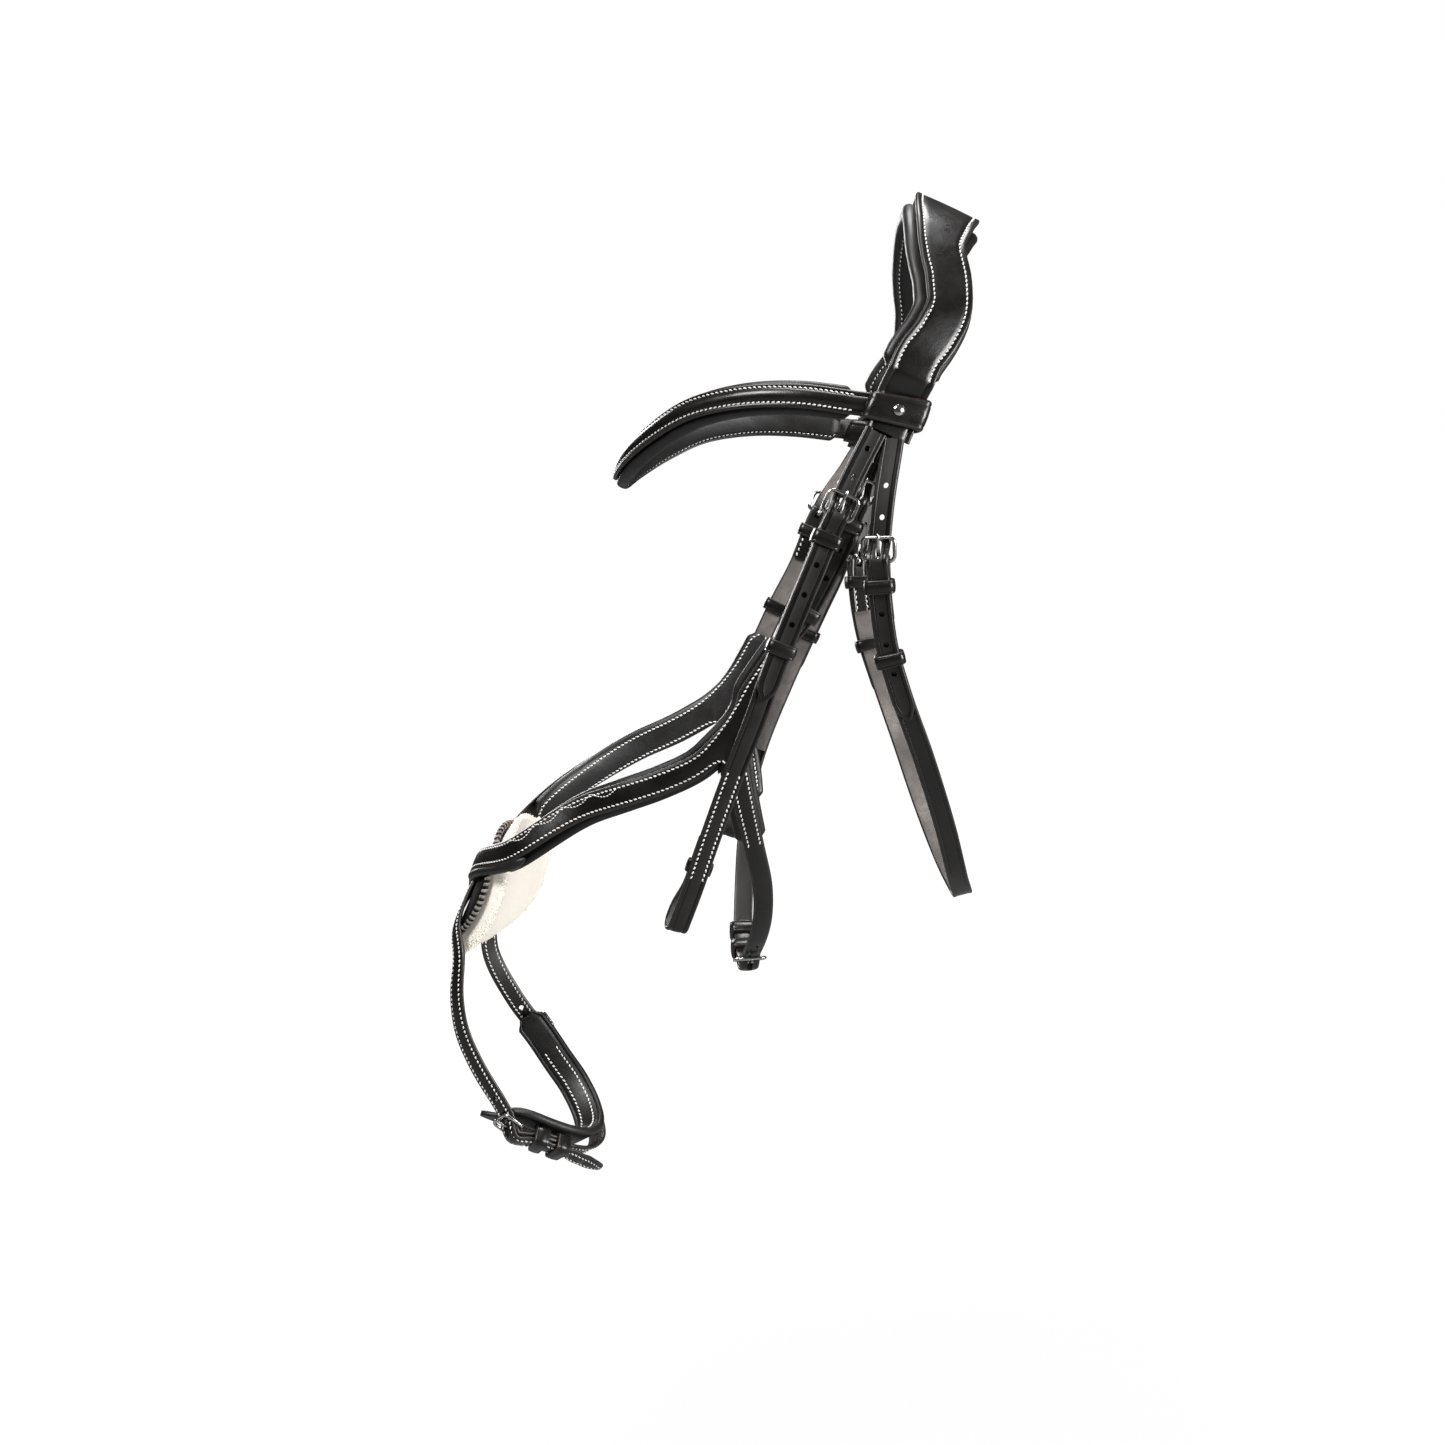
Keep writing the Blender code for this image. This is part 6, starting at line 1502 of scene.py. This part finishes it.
    def place_roll(self):
        """The rolled edge of soft leather that shows under the arm, drawn in at both ends."""
        crossing = self.cross - JUNCTION_REACH
        edge_line = self.front_band.row(-ROLL_OVERHANG, lambda thick: -thick / 2, -1.0, crossing - ROLL_START,
                                        self.front_band.reach[-1] - crossing + ROLL_END)
        spots = resampled(edge_line, ROLL_STEP)
        rings = []
        for i, (spot, line, up) in enumerate(spots):
            from_end = min(i, len(spots) - 1 - i)
            size = ROLL_RADIUS * min(1.0, math.sqrt((from_end + ROLL_END_ROUND) / ROLL_END_STEPS))
            rings.append(circle(spot, line.cross(up), up, size, ROLL_SIDES))
        place(built("near_nose_roll", skin(rings), ["Bridle soft leather"]), "bridle")

    def place_padding(self, look):
        """The Y of padding, stuffed, sewn and in its place."""
        margins = 2 * NOSE_PAD_MARGIN
        wide, nose_wide, strap_wide = ARM_WIDTH + margins, NOSE_ARM_WIDTH + margins, STRAP_WIDTH + margins
        thick, height = NOSE_PAD_THICKNESS, nose_pad_height

        def pad_band(route, tip, inner, tip_width):
            """One arm, from its drawn-in tip to the junction, and whether its route runs that way."""
            forward = inner > tip
            keys = [(tip, height, tip_width * PAD_END_SHARE, thick * PAD_END_SHARE),
                    (tip + (PAD_ROUND if forward else -PAD_ROUND), height, tip_width, thick),
                    (inner, height, wide, thick)]
            stations = run(route, keys)
            return Band(route, stations if forward else stations[::-1]), forward

        upper, front = self.junction - JUNCTION_REACH, self.cross - FLEECE_DIAMETER / 2 - PAD_GAP
        rear = (REAR_PAD_REACH, JUNCTION_REACH)
        if not self.near:
            rear = (jaw_route.length - REAR_PAD_REACH, jaw_route.length - JUNCTION_REACH)
        pads = [pad_band(self.hang.route, self.hang.at(NOSE_PAD_START), upper, strap_wide),
                pad_band(self.arm_route, front, JUNCTION_REACH, nose_wide),
                pad_band(jaw_route, *rear, strap_wide)]
        arms = []
        for (band, forward), pair in zip(pads, self.corners):
            ring = plate_rings(band, PAD_SHARES)
            arms.append((ring if forward else ring[::-1], *pair))
        shape, spots = y_skin(arms, self.joint, self.out, height, wide / 2, thick, PAD_SHARES, [FACE] * 8)
        pad = rounded(built(self.side + "_noseband_padding", shape, ["Bridle soft leather"]))
        centre = self.joint + self.out * height
        swell_y(pad, [band for band, forward in pads], centre, self.out, wide / 2)
        bands = {name: band for name, (band, forward) in zip(("above", "ahead", "behind"), pads)}
        sewn(pad, joined(*y_seams(bands, spots, centre, -self.out, wide * Y_PAD_SEAM_INSET,
                                  lambda thick: -thick * Y_PAD_SEAM_DEPTH, look, -1.0)))
        place(pad, "bridle", self.side + "_noseband_padding", slot="padding")


class BRIDLE_OT_noseband(bpy.types.Operator):
    """Build both halves of the noseband: leather, padding and keepers"""
    bl_idname = "bridle.noseband"
    bl_label = "Noseband"

    def execute(self, context):
        look = context.scene.bridle_stitches
        for side, arm_route, arm, lift in (("near", near_arm_route, near_arm, layer),
                                           ("far", far_arm_route, far_arm, 0.0)):
            half = NosebandHalf(side, arm_route, len(arm), lift)
            half.place_leather(look)
            half.place_padding(look)
            for name, q in (("_noseband_keeper", KEEPER_SETBACK),
                            ("_noseband_tip_keeper", NOSEBAND_SECOND_KEEPER)):
                place_keeper(side + name, half.hang.keeper_shape(q), "bridle")
        for name, q in (("jaw_keeper", KEEPER_SETBACK), ("jaw_tip_keeper", JAW_SECOND_KEEPER)):
            place_keeper(name, jaw.keeper_shape(q), "bridle")
        return {"FINISHED"}


def y_seams(bands, spots, joint, out, inset, lift, look, face=1.0):
    """Seams down both edges of three arms and round the corners between them."""
    seams = []

    def edge_row(which, corner):
        """The row of an arm that lies nearest a corner, from the junction outwards."""
        rows = [[(spot, up * face) for spot, up in bands[which].row(inset, lift, s)] for s in (-1.0, 1.0)]
        rows = [row if (row[0][0] - joint).length < (row[-1][0] - joint).length else row[::-1] for row in rows]
        return min(rows, key=lambda row: (row[0][0] - spots[corner]).length)

    for corner, pair in (("A", ("above", "ahead")), ("C", ("above", "behind")), ("B", ("ahead", "behind"))):
        first, second = (edge_row(which, corner) for which in pair)
        spot = spots[corner]
        turn = spot + (joint - spot).normalized() * inset + out * face * lift(STRAP_THICKNESS)
        seams.append(stitches(softened(first[::-1] + [(turn, out)] + second), look))
    return seams


def fancy_row(band, start, stop):
    """A seam of hanging arcs with a small peak between them, along the upper edge of an arm."""
    row, deep = [], band.frames[0][4] * FANCY_DEPTH_SHARE
    peak_half = (1.0 - FANCY_ARC_SHARE) / 2
    for number in range(FANCY_STEPS + 1):
        d = start + (stop - start) * number / FANCY_STEPS
        i = max(0, min(len(band.reach) - 2, bisect.bisect_left(band.reach, d) - 1))
        share = (d - band.reach[i]) / (band.reach[i + 1] - band.reach[i])
        (m, l, c, u, half, thick), after = band.frames[i], band.frames[i + 1]
        phase = number * FANCY_ARCS / FANCY_STEPS % 1.0
        if phase < FANCY_ARC_SHARE:
            drop = math.sin(math.pi * phase / FANCY_ARC_SHARE)
        else:
            drop = FANCY_PEAK * (abs(phase - 1.0 + peak_half) / peak_half - 1.0)
        inset = half * FANCY_INSET_SHARE - deep * drop
        lift = thick * (FANCY_LIFT - FANCY_FALL * inset / half)
        row.append((m.lerp(after[0], share) + c * inset + u * lift, u))
    return row


def softened(path, rounds=3):
    """A path with its corners eased."""
    for _ in range(rounds):
        path = path[:1] + [((a[0] + b[0] * 2 + c[0]) / 4, (a[1] + b[1] * 2 + c[1]).normalized())
                           for a, b, c in zip(path, path[1:], path[2:])] + path[-1:]
    return path


def swell_y(pad, bands, centre, out, half):
    """Stuff a three-armed pad, held along its top and its seams."""
    frames = [section for band in bands for section in band.frames]
    lines = np.array([list(section[0]) for section in frames] + [list(centre)])
    ups = [section[3] for section in frames] + [out]
    held = []
    for vertex in pad.data.vertices:
        gap = lines - np.array(vertex.co)
        nearest = int((gap ** 2).sum(axis=1).argmin())
        up = ups[nearest]
        away = vertex.co - Vector(lines[nearest])
        lift = away.dot(up)
        side = (away - up * lift).length
        seam = abs(side - half * Y_HELD_SEAM) < Y_HELD_SLACK and lift < 0
        if lift > NOSE_PAD_THICKNESS * Y_HELD_TOP or seam:
            held.append(vertex.index)
    stuffed(pad, held)


class BRIDLE_OT_chin(bpy.types.Operator):
    """Build the chin strap, its pad and its keepers"""
    bl_idname = "bridle.chin"
    bl_label = "Chin strap"

    def execute(self, context):
        look = context.scene.bridle_stitches
        near, far = chins["near"], chins["far"]
        under = run(chin_route, [(far.at(CHAPE_LENGTH), far.outer, *CHAPE_SIZE),
                                 (near.at(CHAPE_LENGTH), near.outer, *CHAPE_SIZE)])
        band = Band(chin_route, far.chape() + under[1:-1] + list(reversed(near.chape())))
        strap = strap_piece("chin_strap", band, LEATHER_FINISHES, leather_outline())
        punched(strap, [far.slot(), near.slot()])
        middle = strap_stretch(chin_route, far.at(CHAPE_LENGTH), near.at(CHAPE_LENGTH), far.outer)
        sewn(strap, joined(near.chape_seams(look), far.chape_seams(look), stretch_rows(middle, look)))
        place(strap, "bridle", "chin_strap")
        full = (STRAP_WIDTH + 2 * CHIN_PAD_MARGIN, CHIN_PAD_THICKNESS)
        tab = (STRAP_WIDTH, CHIN_PAD_THICKNESS * PAD_END_SHARE)
        height = -KEEPER_WALL - KEEPER_ROOM - EASE - CHIN_PAD_THICKNESS / 2
        start = chin_pad_route.mark(2) - CHIN_PAD_OVERHANG
        keys = [(start, height, full[0] * PAD_END_SHARE, tab[1]), (start + PAD_ROUND, height, *full),
                (chin_pad_route.mark(len(chin_places) + 1), height, *full),
                (chin_pad_route.length - TIP_LENGTH, height, *tab)]
        band = Band(chin_pad_route, pointed(run(chin_pad_route, keys), 1))
        pad_piece("chin_pad", band, look, CHIN_SEAM, CHIN_GUARD_LENGTH)
        for name, fastening, q in (("far_chin_keeper", far, KEEPER_SETBACK),
                                   ("near_chin_keeper", near, KEEPER_SETBACK),
                                   ("near_chin_tip_keeper", near, CHIN_SECOND_KEEPER)):
            place_keeper(name, fastening.keeper_shape(q), "bridle")
        return {"FINISHED"}


class BRIDLE_OT_nose_disc(bpy.types.Operator):
    """Build the nose disc with its laced rim and its fleece"""
    bl_idname = "bridle.nose_disc"
    bl_label = "Nose disc"

    def execute(self, context):
        disc = built("nose_disc", disc_shape(), ["Bridle leather", "Bridle lace"])
        lace = built("nose_disc_lace", lace_shape(), ["Bridle lace"])
        place(disc, "bridle", "nose_disc", slot="disc")
        place(lace, "bridle", slot="disc")
        fleece = context.scene.bridle_fleece
        rng = random.Random(FLEECE_SEED)
        locks = [fleece_lock(fleece.pile, rng) for _ in range(fleece.locks)]
        wool = built("nose_fleece", joined(fleece_skin(fleece.pile), *locks), ["Bridle fleece"])
        place(wool, "bridle", "nose_fleece", slot="fleece")
        return {"FINISHED"}


class BRIDLE_OT_buckles(bpy.types.Operator):
    """Build every buckle with its prong, and the plain stud on the near loop"""
    bl_idname = "bridle.buckles"
    bl_label = "Buckles"

    def execute(self, context):
        groups = [(side + "_cheek", fastening, side + "_cheek") for side, fastening in cheeks.items()]
        for name, pair, body in (("_throat", throats, "throatlash"), ("_noseband", hangs, "bridle"),
                                 ("_chin", chins, "bridle")):
            groups += [(side + name, fastening, body) for side, fastening in pair.items()]
        groups.append(("jaw", jaw, "bridle"))
        for name, fastening, body in groups:
            place_steel(name + "_buckle", fastening.frame_shape(), body, name + "_buckle")
            place_steel(name + "_prong", fastening.prong_shape(), name + "_prong", name + "_prong")
        point, along, across, out = crown_route.frame(loop_middle)
        seat = loop_seat + LOOP_WALL * STUD_SEAT_SHARE
        rings = [circle(point + out * (seat + n), across, along, r, STUD_SIDES) for r, n in STUD_PROFILE]
        place_steel("near_loop_stud", skin(rings), "bridle")
        return {"FINISHED"}


def place_floor(stage):
    """The plain floor. Away from the middle the camera sees it go over into the white behind."""
    finish = Surface("Stage floor", stage.floor_colour, FLOOR_ROUGHNESS)
    spot = finish.node("ShaderNodeNewGeometry").outputs["Position"]
    length = finish.node("ShaderNodeVectorMath", {0: spot}, operation="LENGTH").outputs["Value"]
    seen = finish.node("ShaderNodeLightPath").outputs["Is Camera Ray"]
    fade = finish.between(length, *FLOOR_FADE)
    share = finish.node("ShaderNodeMath", {0: fade, 1: seen}, operation="MULTIPLY")
    white = finish.node("ShaderNodeEmission", {"Strength": FLOOR_GLOW})
    mix = finish.node("ShaderNodeMixShader", {"Fac": share.outputs[0], 1: finish.shader.outputs[0],
                                              2: white.outputs[0]})
    finish.tree.links.new(mix.outputs[0], finish.tree.nodes["Material Output"].inputs["Surface"])
    mesh = bpy.data.meshes.new("stage_floor")
    corners = [(x * FLOOR_HALF, y * FLOOR_HALF, -stage.floor_drop)
               for x, y in ((-1, -1), (1, -1), (1, 1), (-1, 1))]
    mesh.from_pydata(corners, [], [(0, 1, 2, 3)])
    mesh.materials.append(finish.made)
    floor = bpy.data.objects.new("stage_floor", mesh)
    bpy.context.collection.objects.link(floor)


def light_world(scene):
    """A faint even light, and plain white where the camera sees past everything."""
    world = bpy.data.worlds.new("Studio")
    scene.world = world
    world.use_nodes = True
    tree = world.node_tree
    light = tree.nodes["Background"]
    light.inputs["Color"].default_value = WHITE
    light.inputs["Strength"].default_value = WORLD_LIGHT
    shown = add_node(tree, "ShaderNodeBackground", {"Color": WHITE, "Strength": 1.0})
    rays = add_node(tree, "ShaderNodeLightPath").outputs
    most = add_node(tree, "ShaderNodeMath", {0: rays["Is Camera Ray"], 1: rays["Is Transmission Ray"]},
                    operation="MAXIMUM")
    mix = add_node(tree, "ShaderNodeMixShader", {"Fac": most.outputs[0], 1: light.outputs[0],
                                                 2: shown.outputs[0]})
    tree.links.new(mix.outputs[0], tree.nodes["World Output"].inputs["Surface"])


def place_lamps():
    """Soft square lamps round the middle of the bridle."""
    for name, spot, size, power in LAMPS:
        lamp = bpy.data.lights.new("light_" + name, "AREA")
        lamp.shape, lamp.size, lamp.energy = "SQUARE", size, power
        obj = bpy.data.objects.new("light_" + name, lamp)
        obj.location = spot
        obj.rotation_euler = (Vector(STUDIO_MIDDLE) - Vector(spot)).to_track_quat("-Z", "Y").to_euler()
        bpy.context.collection.objects.link(obj)


def place_camera(scene, lens):
    """The camera at the photograph's viewing angle."""
    camera = bpy.data.cameras.new("Camera")
    camera.lens, camera.sensor_width = lens, SENSOR_WIDTH
    camera.clip_start, camera.clip_end = 0.02, 50.0
    obj = bpy.data.objects.new("Camera", camera)
    obj.location = CAMERA_PLACE
    obj.rotation_euler = (math.radians(90.0 - CAMERA_DROP), 0.0, math.radians(CAMERA_YAW))
    bpy.context.collection.objects.link(obj)
    scene.camera = obj


class BRIDLE_OT_stage(bpy.types.Operator):
    """Set the floor, the light and the camera"""
    bl_idname = "bridle.stage"
    bl_label = "Stage"

    def execute(self, context):
        scene = context.scene
        place_floor(scene.bridle_stage)
        light_world(scene)
        place_lamps()
        place_camera(scene, scene.bridle_stage.lens)
        scene.view_settings.view_transform = "Standard"
        return {"FINISHED"}


OPERATORS = (BRIDLE_OT_finishes, BRIDLE_OT_crown, BRIDLE_OT_browband, BRIDLE_OT_cheekpieces,
             BRIDLE_OT_throatlash, BRIDLE_OT_noseband, BRIDLE_OT_chin, BRIDLE_OT_nose_disc, BRIDLE_OT_buckles,
             BRIDLE_OT_stage)
SETTINGS = {"bridle_leather": LeatherSettings, "bridle_stitches": StitchSettings,
            "bridle_metal": MetalSettings, "bridle_fleece": FleeceSettings, "bridle_stage": StageSettings}


class BRIDLE_PT_panel(bpy.types.Panel):
    """Settings of the bridle and the steps that build it"""
    bl_label = "Figure eight bridle"
    bl_space_type = "VIEW_3D"
    bl_region_type = "UI"
    bl_category = "Bridle"

    def draw(self, context):
        for key in SETTINGS:
            settings = getattr(context.scene, key)
            for name in settings.bl_rna.properties.keys():
                if name not in ("rna_type", "name"):
                    self.layout.prop(settings, name)
        for operator in OPERATORS:
            self.layout.operator(operator.bl_idname)


def register():
    for settings in SETTINGS.values():
        bpy.utils.register_class(settings)
    for key, settings in SETTINGS.items():
        setattr(bpy.types.Scene, key, bpy.props.PointerProperty(type=settings))
    for operator in OPERATORS:
        bpy.utils.register_class(operator)
    bpy.utils.register_class(BRIDLE_PT_panel)


def unregister():
    bpy.utils.unregister_class(BRIDLE_PT_panel)
    for operator in reversed(OPERATORS):
        bpy.utils.unregister_class(operator)
    for key, settings in SETTINGS.items():
        delattr(bpy.types.Scene, key)
        bpy.utils.unregister_class(settings)


def main():
    """Build the whole bridle."""
    register()
    for operator in OPERATORS:
        group, name = operator.bl_idname.split(".")
        getattr(getattr(bpy.ops, group), name)()


if __name__ == "__main__":
    main()
